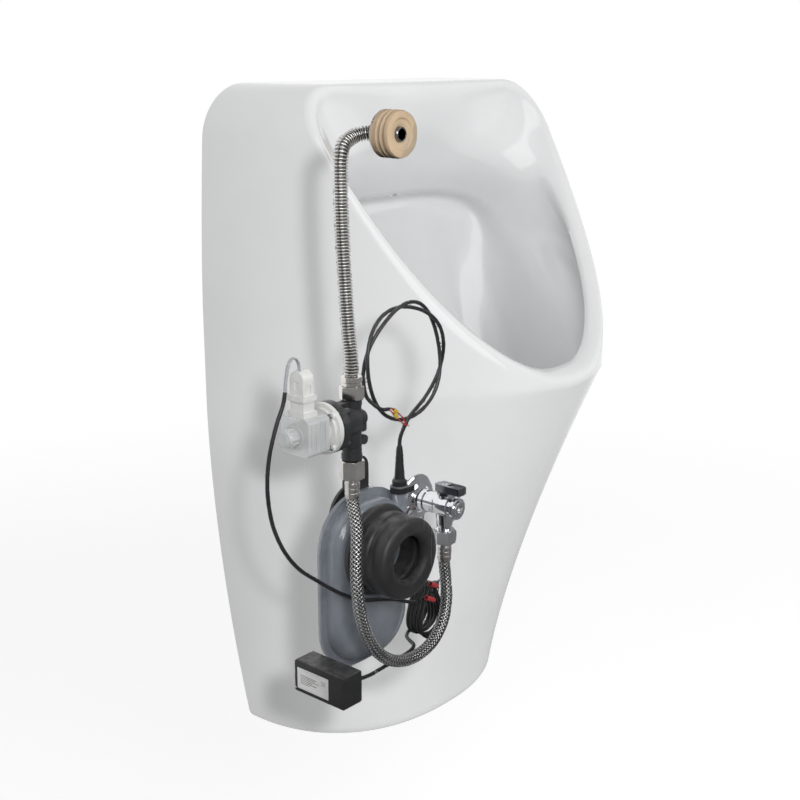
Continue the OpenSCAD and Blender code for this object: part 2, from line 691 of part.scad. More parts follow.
// Two grey coil wires in an arc over to the black sheathed lead
coil_wire_route = [
    at(-102.6, 34, 338), at(-102.6, 34, 349), at(-105, 34, 356), at(-110, 34, 359),
    at(-115, 34, 356), at(-118, 34, 348), at(-120, 34, 339), at(-121, 34, 330)];
module coil_wires() {
    color("lightgray") in_frame() for (k = [0, 1]) {
        translate([0, (k - 0.5) * coil_wire_apart, 0])
            cord(route(coil_wire_route, 3), coil_wire_d, 8, [0, 1, 0]);
    }
}
lead_route = [
    at(-121, 34, 329.5), at(-124, 34, 318), at(-132, 33, 300), at(-140, 32, 275),
    at(-143, 31, 250), at(-141, 30, 225), at(-135, 30, 200), at(-124, 32, 175),
    at(-108, 34, 154), at(-88, 37, 137), at(-66, 39, 120), at(-46, 39, 107),
    at(-24, 40, 96), at(-2, 41, 90), at(20, 43, 83), at(36, 46, 76), at(47, 47, 72)];
module solenoid_lead() {
    color("#1c1c1e") in_frame() cord(route(lead_route, 3), lead_d, 8, [0, 1, 0]);
}

// Below the valve: washer, nut, crimped ferrule and the braided hose
lower_nut_h = 13;
lower_nut_z = 225;
ferrule_l = 19;
ferrule_r = braid_d / 2 + 1;
upper_ferrule_z = lower_nut_z - ferrule_l;
module lower_washer() {
    color("dimgray") in_frame() translate([column_x, -column_out, 0]) difference() {
        translate([0, 0, valve_bottom_z - 1.6])
            cylinder(h = 1.6, r = thread_r + 0.05, $fn = 48);
        translate([0, 0, valve_bottom_z - 2]) cylinder(h = 3, r = 4.2, $fn = 48);
    }
}
module lower_nut() {
    color("lightgray") in_frame() translate([column_x, -column_out, 0]) difference() {
        nut_ring(lower_nut_z + 1, lower_nut_h + 6, thread_r + 0.1);
        translate([0, 0, lower_nut_z]) cylinder(h = 3, r = ferrule_r - 1.5, $fn = 48);
    }
}
// A crimped ferrule with its nipple, standing up from its foot
module ferrule(nipple) {
    difference() {
        union() {
            cylinder(h = 2, r1 = ferrule_r - 0.5, r2 = ferrule_r, $fn = 48);
            for (k = [0:2]) {
                translate([0, 0, 2 + 5 * k]) cylinder(h = 3.6, r = ferrule_r, $fn = 48);
                translate([0, 0, 5.6 + 5 * k]) cylinder(h = 1.4, r = ferrule_r - 0.7, $fn = 48);
            }
            translate([0, 0, 17]) cylinder(h = ferrule_l - 17, r = ferrule_r - 1.2, $fn = 48);
            translate([0, 0, ferrule_l]) cylinder(h = nipple, r = thread_r - 0.9, $fn = 48);
        }
        translate([0, 0, -1]) cylinder(h = 14, r = braid_d / 2 + 0.1, $fn = 48);
        translate([0, 0, 5]) cylinder(h = ferrule_l + nipple, r = 3, $fn = 48);
    }
}
module upper_ferrule() {
    color("silver") in_frame() translate([column_x, -column_out, upper_ferrule_z])
        ferrule(valve_bottom_z - 1.6 - lower_nut_z);
}
angle_outlet_out = 40;
angle_nut_z = 120;
angle_nut_h = 14;
angle_thread_z = angle_nut_z + 6;
lower_ferrule_z = angle_nut_z - ferrule_l;
braid_route = [
    at(column_x, column_out, upper_ferrule_z + 12.9), at(column_x, column_out, upper_ferrule_z + 3),
    at(column_x, column_out, upper_ferrule_z - 4), at(-35, 37, 193), at(-41, 46, 178), at(-50, 54, 160), at(-55, 58, 138), at(-55, 60, 114),
    at(-50, 60, 90), at(-41, 60, 68), at(-28, 60, 48), at(-9, 61, 32), at(14, 61, 23),
    at(38, 61, 22), at(62, 59, 28), at(82, 55, 42), at(95, 49, 60), at(101, 43, 80),
    at(angle_x, angle_outlet_out, 96), at(angle_x, angle_outlet_out, lower_ferrule_z + 2),
    at(angle_x, angle_outlet_out, lower_ferrule_z + 12.9)];
module braided_hose() {
    path = route(braid_route, 2);
    long = lengths(path);
    echo(braided_length = long[len(long) - 1]);
    color("silver") in_frame() cord(path, braid_d, 12, [1, 0, 0]);
}
module lower_ferrule() {
    color("silver") in_frame() translate([angle_x, -angle_outlet_out, lower_ferrule_z])
        ferrule(angle_thread_z - gap - angle_nut_z);
}
module angle_nut() {
    color("silver") in_frame() translate([angle_x, -angle_outlet_out, 0]) difference() {
        union() {
            nut_ring(angle_nut_z + 1, angle_nut_h, thread_r + 0.1);
            translate([0, 0, angle_nut_z + angle_nut_h - 2]) difference() {
                cylinder(h = 4, r = nut_flats / 2 - 1.5, $fn = 48);
                translate([0, 0, -1]) cylinder(h = 6, r = thread_r + 0.1, $fn = 48);
            }
        }
        translate([0, 0, angle_nut_z]) cylinder(h = 3, r = ferrule_r - 1.5, $fn = 48);
    }
}

// Angle valve: tail in the wall, rose, body with the outlet below and the stem on top
tail_l = 25;
root_step = 0.4;
rose_out = 9;
body_start = 12;
body_end = 54;
angle_body_r = 11;
stem_r = 3.5;
stem_top = angle_body_r + 9;
ball_r = 6.5;
module at_angle() {
    translate([angle_x, 0, angle_z]) children();
}
module at_stem() {
    translate([angle_x, -angle_outlet_out, angle_z]) children();
}
module wall_rose() {
    color("silver") in_frame() at_angle() rotate([90, 0, 0])
        rotate_extrude($fn = 96) polygon([
            [tail_d / 2 + 0.3, 0.4], [rose_d / 2, 0.4], [rose_d / 2, 1.6],
            [rose_d / 2 - 2, 3], [rose_d / 2 - 8, 4.2], [rose_d / 2 - 11, 6],
            [tail_d / 2 + 1.8, rose_out], [tail_d / 2 + 0.3, rose_out]]);
}
module angle_valve_body() {
    color("silver") in_frame() difference() {
        union() {
            at_angle() {
                out_cyl(tail_d / 2, -tail_l, 0);
                out_cyl(tail_d / 2 - root_step, -1, body_start + 3);
                out_cyl(angle_body_r + 1.5, body_start, body_start + 5);
                out_cyl(angle_body_r, body_start + 5, body_end - 6);
                out_cyl(angle_body_r - 1.5, body_end - 6, body_end);
            }
            at_stem() {
                translate([0, 0, angle_thread_z - angle_z])
                    cylinder(h = angle_z - angle_thread_z, r = thread_r, $fn = 48);
                translate([0, 0, -angle_body_r - 9]) cylinder(h = 12, r = 9, $fn = 48);
                cylinder(h = angle_body_r + 5, r = 7, $fn = 48);
                translate([0, 0, angle_body_r + 1.5]) hex(15, 3.5);
            }
        }
        at_angle() {
            out_cyl(7, -tail_l - 1, angle_outlet_out);
            out_cyl(6.2, angle_outlet_out, body_end + 1);
        }
        at_stem() {
            translate([0, 0, -50]) cylinder(h = 50, r = 4.5, $fn = 48);
            translate([0, 0, -1]) cylinder(h = 30, r = stem_r + run, $fn = 48);
            translate([0, 0, -ball_r - 0.6]) cylinder(h = 2 * ball_r + 0.8, r = ball_r + 0.5, $fn = 48);
        }
    }
}
module angle_end_cap() {
    color("silver") in_frame() at_angle() difference() {
        union() {
            out_cyl(angle_body_r + 0.5, body_end, body_end + 4);
            out_cyl(angle_body_r - 1, body_end + 4, body_end + 6.5, angle_body_r - 3);
            out_cyl(6.1, body_end - 5, body_end);
        }
        out_cyl(4, body_end + 4, body_end + 8);
        translate([0, -(body_end + 3), 0]) rotate([90, 0, 0]) hex(5, 8);
    }
}
// The ball and the stem turn together under the lever
module valve_spindle() {
    color("goldenrod") in_frame() at_stem() difference() {
        union() {
            sphere(r = ball_r, $fn = 48);
            cylinder(h = stem_top - 0.5, r = stem_r, $fn = 48);
        }
        rotate([90, 0, 0]) cylinder(h = 30, r = 3.6, center = true, $fn = 40);
        translate([0, 0, -20]) cylinder(h = 20, r = 3.4, $fn = 40);
        translate([0, 0, stem_top - 8]) cylinder(h = 10, r = 1.5, $fn = 24);
    }
}
lever_t = 8;
lever_w = 14;
lever_back = 9;
lever_z = angle_body_r + 5.4;
module valve_lever() {
    color("#5a5d62") in_frame() at_stem() difference() {
        union() {
            translate([0, -(lever_l - lever_back) / 2, lever_z])
                linear_extrude(height = lever_t)
                    round_rect(lever_w, lever_l + lever_back, 2.5);
            translate([0, 0, lever_z - 0.2]) cylinder(h = lever_t, r = 6, $fn = 48);
        }
        translate([0, 0, lever_z - 1]) cylinder(h = stem_top - lever_z + 1, r = stem_r + 0.02, $fn = 48);
        translate([0, 0, lever_z + lever_t - 2]) cylinder(h = 3, r = 3.4, $fn = 32);
        cylinder(h = lever_z + lever_t, r = 1.6, $fn = 24);
        translate([-3.5, -lever_l + 3, lever_z + lever_t - 1]) cube([7, lever_l - 9, 2]);
    }
}
module lever_screw() {
    color("silver") in_frame() at_stem() difference() {
        union() {
            translate([0, 0, stem_top - 6]) cylinder(h = 9, r = 1.45, $fn = 24);
            translate([0, 0, lever_z + lever_t - 2]) cylinder(h = 1.8, r = 3.2, $fn = 32);
        }
        translate([0, 0, lever_z + lever_t - 1]) hex(2.5, 2);
    }
}

// Trap: two clear shells welded at a flange, a neck in front for the cuff, the waste
// outlet behind and a socket on top for the probe
trap_bottom_z = 14;
trap_z = trap_bottom_z + trap_h / 2;
trap_r = 52;
weld_out = 14.2;
flange_t = 2.2;
front_out = 34;
back_out = 4.2;
neck_r = 26;
neck_end = 44;
probe_x = 44;
probe_out = 27;
probe_r = 5.5;
probe_socket_z = 197;
probe_socket_h = 27;
function oblong(inset, out) = [
    for (c = [0:3]) for (k = [0:7])
        let (a = 90 * c + 90 * k / 8, r = trap_r - inset)
        at((c == 0 || c == 3 ? 1 : -1) * (trap_w / 2 - trap_r) + r * cos(a), out,
           trap_z + (c < 2 ? 1 : -1) * (trap_h / 2 - trap_r) + r * sin(a))];
module pillow(rows) {
    skin([for (r = rows) oblong(r[0], r[1])]);
}
module weld_flange(out1, out2) {
    translate([0, -out1, trap_z]) rotate([90, 0, 0])
        linear_extrude(height = out2 - out1) round_rect(trap_w, trap_h, trap_r);
}
module trap_front() {
    color("#8d9bab") in_frame() difference() {
        union() {
            weld_flange(weld_out, weld_out + flange_t);
            pillow([[8, weld_out + 1], [8.6, 20], [9.6, 26], [12, 30.5], [16, 33], [23, front_out]]);
            translate([0, 0, cuff_z]) out_cyl(neck_r, front_out - 3, neck_end);
            translate([probe_x, -probe_out, probe_socket_z - probe_socket_h])
                cylinder(h = probe_socket_h, r = probe_r + 2.5, $fn = 48);
        }
        pillow([[8 + trap_wall, weld_out - 1], [8.6 + trap_wall, 20], [9.6 + trap_wall, 25],
            [12 + trap_wall, 28.5], [16 + trap_wall, 30.8], [23 + trap_wall, front_out - trap_wall]]);
        translate([0, 0, cuff_z]) out_cyl(neck_r - 3, front_out - 6, neck_end + 1);
        translate([probe_x, -probe_out, probe_socket_z - 20])
            cylinder(h = 21, r = probe_r + 0.1, $fn = 48);
    }
}
module trap_back() {
    color("#8d9bab") in_frame() difference() {
        union() {
            weld_flange(weld_out - flange_t, weld_out);
            pillow([[18, back_out], [12, 5.4], [9.6, 8], [8.6, 11], [8, weld_out - 1]]);
            translate([0, 0, outlet_z]) {
                out_cyl(outlet_d / 2, -outlet_reach, 0);
                out_cyl(outlet_d / 2 - root_step, -1, weld_out - 1);
            }
        }
        pillow([[18 + trap_wall, back_out + trap_wall], [12 + trap_wall, 5 + trap_wall],
            [9.6 + trap_wall, 10], [8 + trap_wall, weld_out + 1]]);
        translate([0, 0, outlet_z])
            out_cyl(outlet_d / 2 - trap_wall, -outlet_reach - 1, back_out + 4);
    }
}
// Rubber cuff pushed over the neck, with the lips that hold the china's spigot
cuff_r = cuff_d / 2;
cuff_end = 81;
cuff_start = front_out + gap;
module trap_cuff() {
    color("#1b1b1d") in_frame() translate([0, 0, cuff_z]) rotate([90, 0, 0])
        rotate_extrude($fn = 96) polygon([
            [neck_r + 0.1, cuff_start], [cuff_r + 4, cuff_start], [cuff_r + 5, cuff_start + 1.5],
            [cuff_r + 5, cuff_start + 5], [cuff_r + 3.5, cuff_start + 6.5],
            [cuff_r - 2, cuff_start + 7.5], [cuff_r - 2, cuff_start + 12],
            [cuff_r, cuff_start + 13], [cuff_r, cuff_start + 22], [cuff_r - 1.5, cuff_start + 24],
            [cuff_r - 1.5, cuff_start + 30], [cuff_r, cuff_start + 32], [cuff_r, cuff_end - 6],
            [cuff_r - 1, cuff_end - 2.5], [cuff_r - 4, cuff_end - 0.5], [cuff_r - 8, cuff_end],
            [spigot_d / 2 + 5, cuff_end], [spigot_d / 2 + 2.5, cuff_end - 1.5],
            [spigot_d / 2 + 0.2, cuff_end - 5], [spigot_d / 2 + 0.2, cuff_end - 9],
            [spigot_d / 2 + 5, cuff_end - 10.5], [spigot_d / 2 + 5, cuff_end - 14],
            [spigot_d / 2 + 0.2, cuff_end - 15.5], [spigot_d / 2 + 0.2, spigot_end - 1],
            [neck_r - 1, neck_end + 1.5], [neck_r + 0.1, neck_end + 0.3]]);
}
// Black rubber seal between the trap and the wall, with its upright ear
ear_top_z = 236;
ear_w = 26;
module outlet_seal() {
    color("#202022") in_frame() {
        difference() {
            union() {
                translate([0, 0, outlet_z]) out_cyl(outlet_d / 2 + 9, 0.4, back_out - 0.3);
                translate([-ear_w / 2, -back_out + 0.3, outlet_z])
                    cube([ear_w, back_out - 0.7, ear_top_z - ear_w / 2 - outlet_z]);
                translate([0, 0, ear_top_z - ear_w / 2]) {
                    out_cyl(ear_w / 2, 0.4, 13);
                    out_cyl(ear_w / 2 - 5, 13, 15.5);
                }
                translate([-ear_w / 2, -13, trap_bottom_z + trap_h + gap])
                    cube([ear_w, 12.6, ear_top_z - ear_w / 2 - trap_bottom_z - trap_h - gap]);
            }
            translate([0, 0, outlet_z]) out_cyl(outlet_d / 2 + 0.1, -1, back_out + 1);
        }
    }
}

// Level sensor: probe in the socket of the trap, its tapered relief and looped cable
relief_l = 42;
relief_top_z = probe_socket_z + gap + relief_l;
module probe_tip() {
    color("dimgray") in_frame() translate([probe_x, -probe_out, 0]) {
        translate([0, 0, probe_socket_z - 19]) cylinder(h = 19, r = probe_r, $fn = 48);
        translate([0, 0, probe_socket_z - 19]) sphere(r = 0.9, $fn = 24);
    }
}
module probe_holder() {
    color("#202022") in_frame() translate([probe_x, -probe_out, probe_socket_z - 7]) difference() {
        union() {
            cylinder(h = 6, r = probe_r + 4.4, $fn = 48);
            translate([4, -probe_r - 4, 0]) cube([9, 5, 6]);
        }
        translate([0, 0, -1]) cylinder(h = 8, r = probe_r + 2.6, $fn = 48);
    }
}
module probe_relief() {
    color("#18181a") in_frame() translate([probe_x, -probe_out, probe_socket_z + gap / 2])
        difference() {
            rotate_extrude($fn = 48) polygon([
                [0, 0], [probe_r + 2.2, 0], [probe_r + 2.2, 5], [probe_r, 7],
                [probe_r - 0.6, 16], [lead_d / 2 + 1.6, relief_l - 6],
                [lead_d / 2 + 0.8, relief_l], [0, relief_l]]);
            translate([0, 0, relief_l - 6]) cylinder(h = 7, r = lead_d / 2 + 0.05, $fn = 32);
        }
}
loop_x = 52;
loop_out = 27;
loop_z = 325;
loop_start = -70;
loop_end = 570;
loop_twist = 2.5;
loop_lay = 3;
loop_steps = 24;
function loop_at(a) = let (r = loop_r + loop_lay * cos(loop_twist * a))
    at(loop_x + r * cos(a), loop_out + loop_lay * sin(loop_twist * a), loop_z + r * sin(a));
loop_n = round((loop_end - loop_start) / 360 * loop_steps);
loop_tail = [
    loop_at(loop_end - 12), loop_at(loop_end), at(6, 32, 288), at(12, 33.5, 285), at(20, 33.5, 284)];
// Part of a list, from item a on, less the last b items
function part(p, a, b = 0) = [for (i = [a:1:len(p) - 1 - b]) p[i]];
sensor_route = [
    at(probe_x, probe_out, relief_top_z - 6), at(probe_x, probe_out, relief_top_z + 3),
    at(45, 28, 250), at(49, 30, 260), at(57, 30, 268.5), loop_at(loop_start),
    loop_at(loop_start + 12)];
sensor_path = concat(
    part(route(sensor_route, 3), 0, 4),
    [for (i = [0:loop_n - 1]) loop_at(loop_start + (loop_end - loop_start) * i / loop_n)],
    part(route(loop_tail, 3), 3));
module sensor_cable() {
    echo(loop_gap = least(sensor_path, 8) - lead_d);
    color("#1c1c1e") in_frame() cord(sensor_path, lead_d, 8, [0, 1, 0]);
}
wire_d = 1.5;
wire_fan = [
    [[20.6, 33.5, 285], [28, 33, 282], [36, 32.5, 276], [43, 33, 269], [47, 33, 262]],
    [[20.6, 33.5, 283], [27, 34, 278], [34, 34, 271], [42, 34, 264], [50, 34, 260]]];
module sensor_wires() {
    color("firebrick") in_frame() for (w = wire_fan) {
        cord(route([for (q = w) at(q[0], q[1], q[2])], 3), wire_d, 6, [0, 1, 0]);
    }
}
// A short sleeve over a wire, between two points
module sleeve(a, b, r, bore) {
    v = b - a;
    translate(a) rotate([0, acos(v[2] / norm(v)), atan2(v[1], v[0])]) difference() {
        cylinder(h = norm(v), r = r, $fn = 32);
        translate([0, 0, -1]) cylinder(h = norm(v) + 2, r = bore, $fn = 32);
    }
}
module wire_sleeves() {
    color("gold") in_frame() for (w = wire_fan) {
        a = at(w[1][0], w[1][1], w[1][2]);
        b = at(w[2][0], w[2][1], w[2][2]);
        sleeve(a, mix(a, b, 0.75), 1.9, wire_d / 2 + 0.5);
    }
}

// Cable of the control box: its spare length hangs in a hank from a tie, right of the trap
hank_x = 84;
hank_top_z = 76;
hank_out = 40;
hank_h = 56;
hank_half_w = 24;
hank_pitch = 4.6;
hank_turns = 5.5;
hank_start = -0.1;
hank_steps = 24;
function hank_at(u) = let (a = 360 * u, h = hank_h + 2.4 * sin(110 * u))
    at(hank_x + hank_half_w * sin(a) * (0.6 - 0.4 * cos(a)), hank_out - hank_pitch * u,
       hank_top_z - h * (1 - cos(a)) / 2);
hank_n = round((hank_turns - hank_start) * hank_steps);
hank_route = [for (i = [0:hank_n]) hank_at(mix(hank_start, hank_turns, i / hank_n))];
// Least distance between points of one route that are more than apart steps from each other
function least(p, apart) = min([for (i = [0:len(p) - 1]) for (j = [i + apart:1:len(p) - 1])
    norm(p[i] - p[j])]);
tie_w = 3.4;
tie_t = 1.4;
module hank_tie() {
    inner_h = lead_d + 4;
    inner_l = hank_pitch * 5 + lead_d + 1.2;
    mid_out = hank_out - hank_pitch * 2.5;
    color("#121214") in_frame() translate([hank_x - tie_w / 2, -mid_out, hank_top_z - 1.5])
        difference() {
            union() {
                rotate([90, 0, 90]) linear_extrude(height = tie_w)
                    round_rect(inner_l + 2 * tie_t, inner_h + 2 * tie_t, 2.2);
                translate([-1, -inner_l / 2 - tie_t - 1.5, 0]) cube([tie_w + 2, 5, inner_h / 2 + 4]);
            }
            translate([-3, 0, 0]) rotate([90, 0, 90]) linear_extrude(height = tie_w + 6)
                round_rect(inner_l, inner_h, 1);
        }
}
// Two conductors of the solenoid lead, each spliced with a red crimp connector
splice_a = [[48.2, 47, 73.2], [52, 50, 76], [56, 52, 76], [74, 50, 66], [77, 46, 63.5], [78.4, 42.6, 65.8],
    [79.1, 40.9, 69.6]];
splice_b = [[48.2, 47.2, 70.9], [51, 52, 84], [58, 56, 92], [76, 52, 82], [81.5, 49, 76], [83, 45.5, 69],
    [82.2, 42, 66.6], [81.1, 40.2, 69.6]];
module splice_wires() {
    color("#2a2a2c") in_frame() for (w = [splice_a, splice_b]) {
        cord(route([for (q = w) at(q[0], q[1], q[2])], 3), wire_d, 6, [0, 1, 0]);
    }
}
module splice_connectors() {
    color("crimson") in_frame() for (w = [splice_a, splice_b]) {
        a = at(w[2][0], w[2][1], w[2][2]);
        b = at(w[3][0], w[3][1], w[3][2]);
        sleeve(mix(a, b, 0.1), mix(a, b, 0.9), 2.7, wire_d / 2 + 0.9);
    }
}
box_x = -92;
box_out = 8;
box_z = 13.8;
box_wall = 2;
lid_t = 3;
gland_out = 54;
gland_z = 24;
gland_l = 9;
box_route = [
    hank_at(hank_turns - 0.03), hank_at(hank_turns), at(73, 14.5, 19.5), at(66, 18, 17.2), at(62, 26, 16.2),
    at(57, 36, 16), at(42, 42, 16), at(20, 44, 16), at(-4, 46, 16.5), at(-24, 49, 18),
    at(-38, 52, 21), at(-48, 53.8, 23.7), at(-55, gland_out, gland_z), at(box_x + box_w + gland_l - 4, gland_out, gland_z)];
box_cable_path = concat(hank_route, part(route(box_route, 3), 4));
module box_cable() {
    echo(hank_gap = least(box_cable_path, 10) - lead_d);
    color("#1c1c1e") in_frame() cord(box_cable_path, lead_d, 6, [0, 1, 0]);
}
module box_case() {
    color("#2b2b2e") in_frame() translate([box_x, -box_out - box_l, box_z]) difference() {
        union() {
            cube([box_w, box_l, box_h - lid_t]);
            for (y = [6, box_l - 10]) {
                translate([box_w, y, 6]) cube([1.2, 4, box_h - lid_t - 12]);
            }
        }
        translate([box_wall, box_wall, box_wall])
            cube([box_w - 2 * box_wall, box_l - 2 * box_wall, box_h]);
        translate([box_w / 2, box_out + box_l - gland_out, gland_z - box_z])
            side_cyl(3.1, 0, box_w, fn = 32);
    }
}
module box_lid() {
    color("#37373a") in_frame() translate([box_x, -box_out - box_l, box_z + box_h - lid_t])
        difference() {
            union() {
                translate([0, 0, 0.1]) cube([box_w, box_l, lid_t - 0.9]);
                translate([0.8, 0.8, 0.1]) cube([box_w - 1.6, box_l - 1.6, lid_t]);
                translate([box_wall + 0.2, box_wall + 0.2, -2])
                    cube([box_w - 2 * box_wall - 0.4, box_l - 2 * box_wall - 0.4, 2.2]);
            }
            translate([box_wall + 1.4, box_wall + 1.4, -3])
                cube([box_w - 2 * box_wall - 2.8, box_l - 2 * box_wall - 2.8, 3]);
        }
}
module box_circuit() {
    color("seagreen") in_frame() translate([box_x, -box_out - box_l, box_z]) {
        translate([box_wall + 0.3, box_wall + 1, box_wall]) cube([1.6, box_l - 2 * box_wall - 2, 22]);
        translate([box_wall + 1.9, 8, box_wall + 4]) cube([10, 15, 12]);
        for (y = [30, 40, 50]) {
            translate([0, y, box_wall + 9]) side_cyl(3.5, box_wall + 1.9, box_wall + 12, fn = 32);
        }
    }
}
label_l = 42;
label_h = 22;
label_t = 0.4;
module box_label() {
    color("whitesmoke") in_frame()
        translate([box_x - label_t, -box_out - 4 - label_l, box_z + 4]) difference() {
            cube([label_t, label_l, label_h]);
            for (k = [0:3]) {
                translate([-0.3, 4, 4 + 4 * k]) cube([0.5, 22 + 4 * (k % 2), 1]);
            }
        }
}
module box_gland() {
    color("#141416") in_frame() translate([0, -gland_out, gland_z]) difference() {
        union() {
            side_cyl(3, box_x + box_w - box_wall, box_x + box_w + 1, fn = 32);
            side_cyl(4.6, box_x + box_w + 0.1, box_x + box_w + 3, fn = 32);
            side_cyl(4, box_x + box_w + 3, box_x + box_w + gland_l, 2.8, fn = 32);
        }
        side_cyl(lead_d / 2 + 0.2, box_x + box_w + gland_l - 4.2, box_x + box_w + 20, fn = 32);
    }
}

ceramic_body();
hanger_hooks();
hanger_screws();
inlet_seal();
inlet_spud();
ribbed_hose();
ribbed_hose_collar();
upper_nut();
upper_washer();
valve_body();
diaphragm();
diaphragm_cover();
cover_screws();
solenoid_tube();
coil_winding();
coil_housing();
coil_knob();
armature();
armature_spring();
terminal_housing();
coil_wires();
solenoid_lead();
lower_washer();
lower_nut();
upper_ferrule();
braided_hose();
lower_ferrule();
angle_nut();
angle_valve_body();
wall_rose();
angle_end_cap();
valve_spindle();
valve_lever();
lever_screw();
trap_back();
trap_front();
trap_cuff();
outlet_seal();
probe_holder();
probe_tip();
probe_relief();
sensor_cable();
sensor_wires();
wire_sleeves();
hank_tie();
box_cable();
splice_wires();
splice_connectors();
box_case();
box_lid();
box_circuit();
box_label();
box_gland();
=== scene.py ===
# %% [markdown]
# # A wall-hung sensor urinal with its flush fittings
# The real object is a vitreous china bowl that hangs on a wall. Its flush valve, flat trap,
# angle valve, hoses, cables and control box sit in the hollow behind the bowl, and the
# photograph shows them through the left flank as if the china were cleared away there.
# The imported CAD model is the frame: every piece made here takes its place from it. Sizes are
# written in millimetres above the china's foot, as a fitter reads them, and `at` turns them
# into metres in the row frame, whose origin is between the two fixing screws on the wall.

# %% Load the frame
import json
import math

import bmesh
import bpy
import numpy as np
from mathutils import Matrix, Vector


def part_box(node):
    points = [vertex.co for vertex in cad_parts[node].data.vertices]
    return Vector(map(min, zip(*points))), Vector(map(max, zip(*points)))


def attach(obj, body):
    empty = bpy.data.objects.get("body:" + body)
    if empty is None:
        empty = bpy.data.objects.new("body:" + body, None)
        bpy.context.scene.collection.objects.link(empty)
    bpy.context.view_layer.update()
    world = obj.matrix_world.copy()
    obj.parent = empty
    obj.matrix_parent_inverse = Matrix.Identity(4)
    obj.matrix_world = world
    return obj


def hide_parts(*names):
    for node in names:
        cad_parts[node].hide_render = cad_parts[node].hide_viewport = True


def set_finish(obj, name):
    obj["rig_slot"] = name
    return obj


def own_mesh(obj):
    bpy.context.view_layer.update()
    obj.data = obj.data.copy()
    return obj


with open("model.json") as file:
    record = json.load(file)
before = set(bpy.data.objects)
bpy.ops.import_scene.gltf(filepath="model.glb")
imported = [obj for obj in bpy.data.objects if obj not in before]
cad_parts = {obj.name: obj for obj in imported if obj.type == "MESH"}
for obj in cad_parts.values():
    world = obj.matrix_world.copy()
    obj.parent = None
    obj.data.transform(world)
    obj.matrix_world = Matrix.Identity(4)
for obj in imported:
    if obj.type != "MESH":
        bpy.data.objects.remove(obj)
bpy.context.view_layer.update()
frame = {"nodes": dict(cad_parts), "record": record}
body_of_node = {
    node: body
    for body, nodes in frame["record"]["behaviour"]["bodies"].items()
    for node in nodes
}
slot_of_node = {s["node"]: s["material_slot"] for s in frame["record"]["subparts"]}
FIX_HEIGHT = 573.0   # height of the fixing screws, and of the origin, above the foot


def at(x, out, z):
    """A point in the row frame, in metres: x to the right, out from the wall, z above the foot."""
    return np.array([x, -out, z - FIX_HEIGHT]) / 1000


# %% [markdown]
# ## Camera
# The picture was taken from the front left, above the top of the china and a little downwards.
# The vertical edges of the china meet far below the picture and its level edges at its left
# and right, which gives the focal length, the pitch and the yaw without any fitting by eye.
# Everything is then seen from one fixed point, which the clear flank uses again later.

# %% Camera
FOCAL_PX = 1293.0    # focal length, in pixels of the 800 pixel wide picture
PICTURE = 800.0
SENSOR = 36.0
PITCH = math.degrees(math.atan((400.0 - 48.0) / FOCAL_PX))   # the horizon lies at row 48
YAW = 49.0
EYE = at(-902.0, 850.0, 628.5)

camera_data = bpy.data.cameras.new("camera")
camera_data.sensor_width = SENSOR
camera_data.lens = FOCAL_PX / PICTURE * SENSOR
camera = bpy.data.objects.new("camera", camera_data)
camera.location = EYE
camera.rotation_euler = (math.radians(90.0 - PITCH), 0.0, math.radians(-YAW))
bpy.context.scene.collection.objects.link(camera)
bpy.context.scene.camera = camera
print("lens", round(camera_data.lens, 2), "mm, pitch", round(PITCH, 2), "degrees")

# %% [markdown]
# ## Surfaces from arrays
# Nearly every new piece is a grid of points: rows along the piece, columns round it. One helper
# turns such a grid into a closed mesh, and a second carries a circle along a path. The frames
# along the path turn as little as they can, so that a pattern on the tube doesn't twist.

# %% Mesh helpers
def mesh_object(name, points, faces):
    """A new smooth-shaded object from an array of points and a list of faces."""
    mesh = bpy.data.meshes.new(name)
    mesh.from_pydata(np.asarray(points).reshape(-1, 3).tolist(), [], faces)
    mesh.validate()
    mesh.shade_smooth()
    obj = bpy.data.objects.new(name, mesh)
    bpy.context.scene.collection.objects.link(obj)
    return obj


def grid_faces(rows, columns, start=0, wrap_rows=False):
    """Quads between neighbouring rows of points. Columns always close on themselves."""
    spans = rows if wrap_rows else rows - 1
    j, i = np.meshgrid(np.arange(spans), np.arange(columns), indexing="ij")
    j2, i2 = (j + 1) % rows, (i + 1) % columns
    quads = np.stack([j * columns + i, j * columns + i2, j2 * columns + i2, j2 * columns + i], -1)
    return (quads.reshape(-1, 4) + start).tolist()


def end_faces(rows, columns, start=0):
    """The two faces that fill the first and the last row of a grid."""
    last = start + (rows - 1) * columns
    return [list(range(start, start + columns))[::-1], list(range(last, last + columns))]


def closed_grid(name, grid, wrap_rows=False):
    """A closed mesh from a grid (rows, columns, 3). Its end rows are filled, or joined."""
    rows, columns = grid.shape[:2]
    faces = grid_faces(rows, columns, wrap_rows=wrap_rows)
    if not wrap_rows:
        faces += end_faces(rows, columns)
    obj = mesh_object(name, grid, faces)
    point_outwards(obj)
    return obj


def point_outwards(obj):
    """Turns all faces of a closed mesh outwards."""
    mesh = bmesh.new()
    mesh.from_mesh(obj.data)
    bmesh.ops.recalc_face_normals(mesh, faces=mesh.faces[:])
    if mesh.calc_volume(signed=True) < 0:
        bmesh.ops.reverse_faces(mesh, faces=mesh.faces[:])
    mesh.to_mesh(obj.data)
    mesh.free()


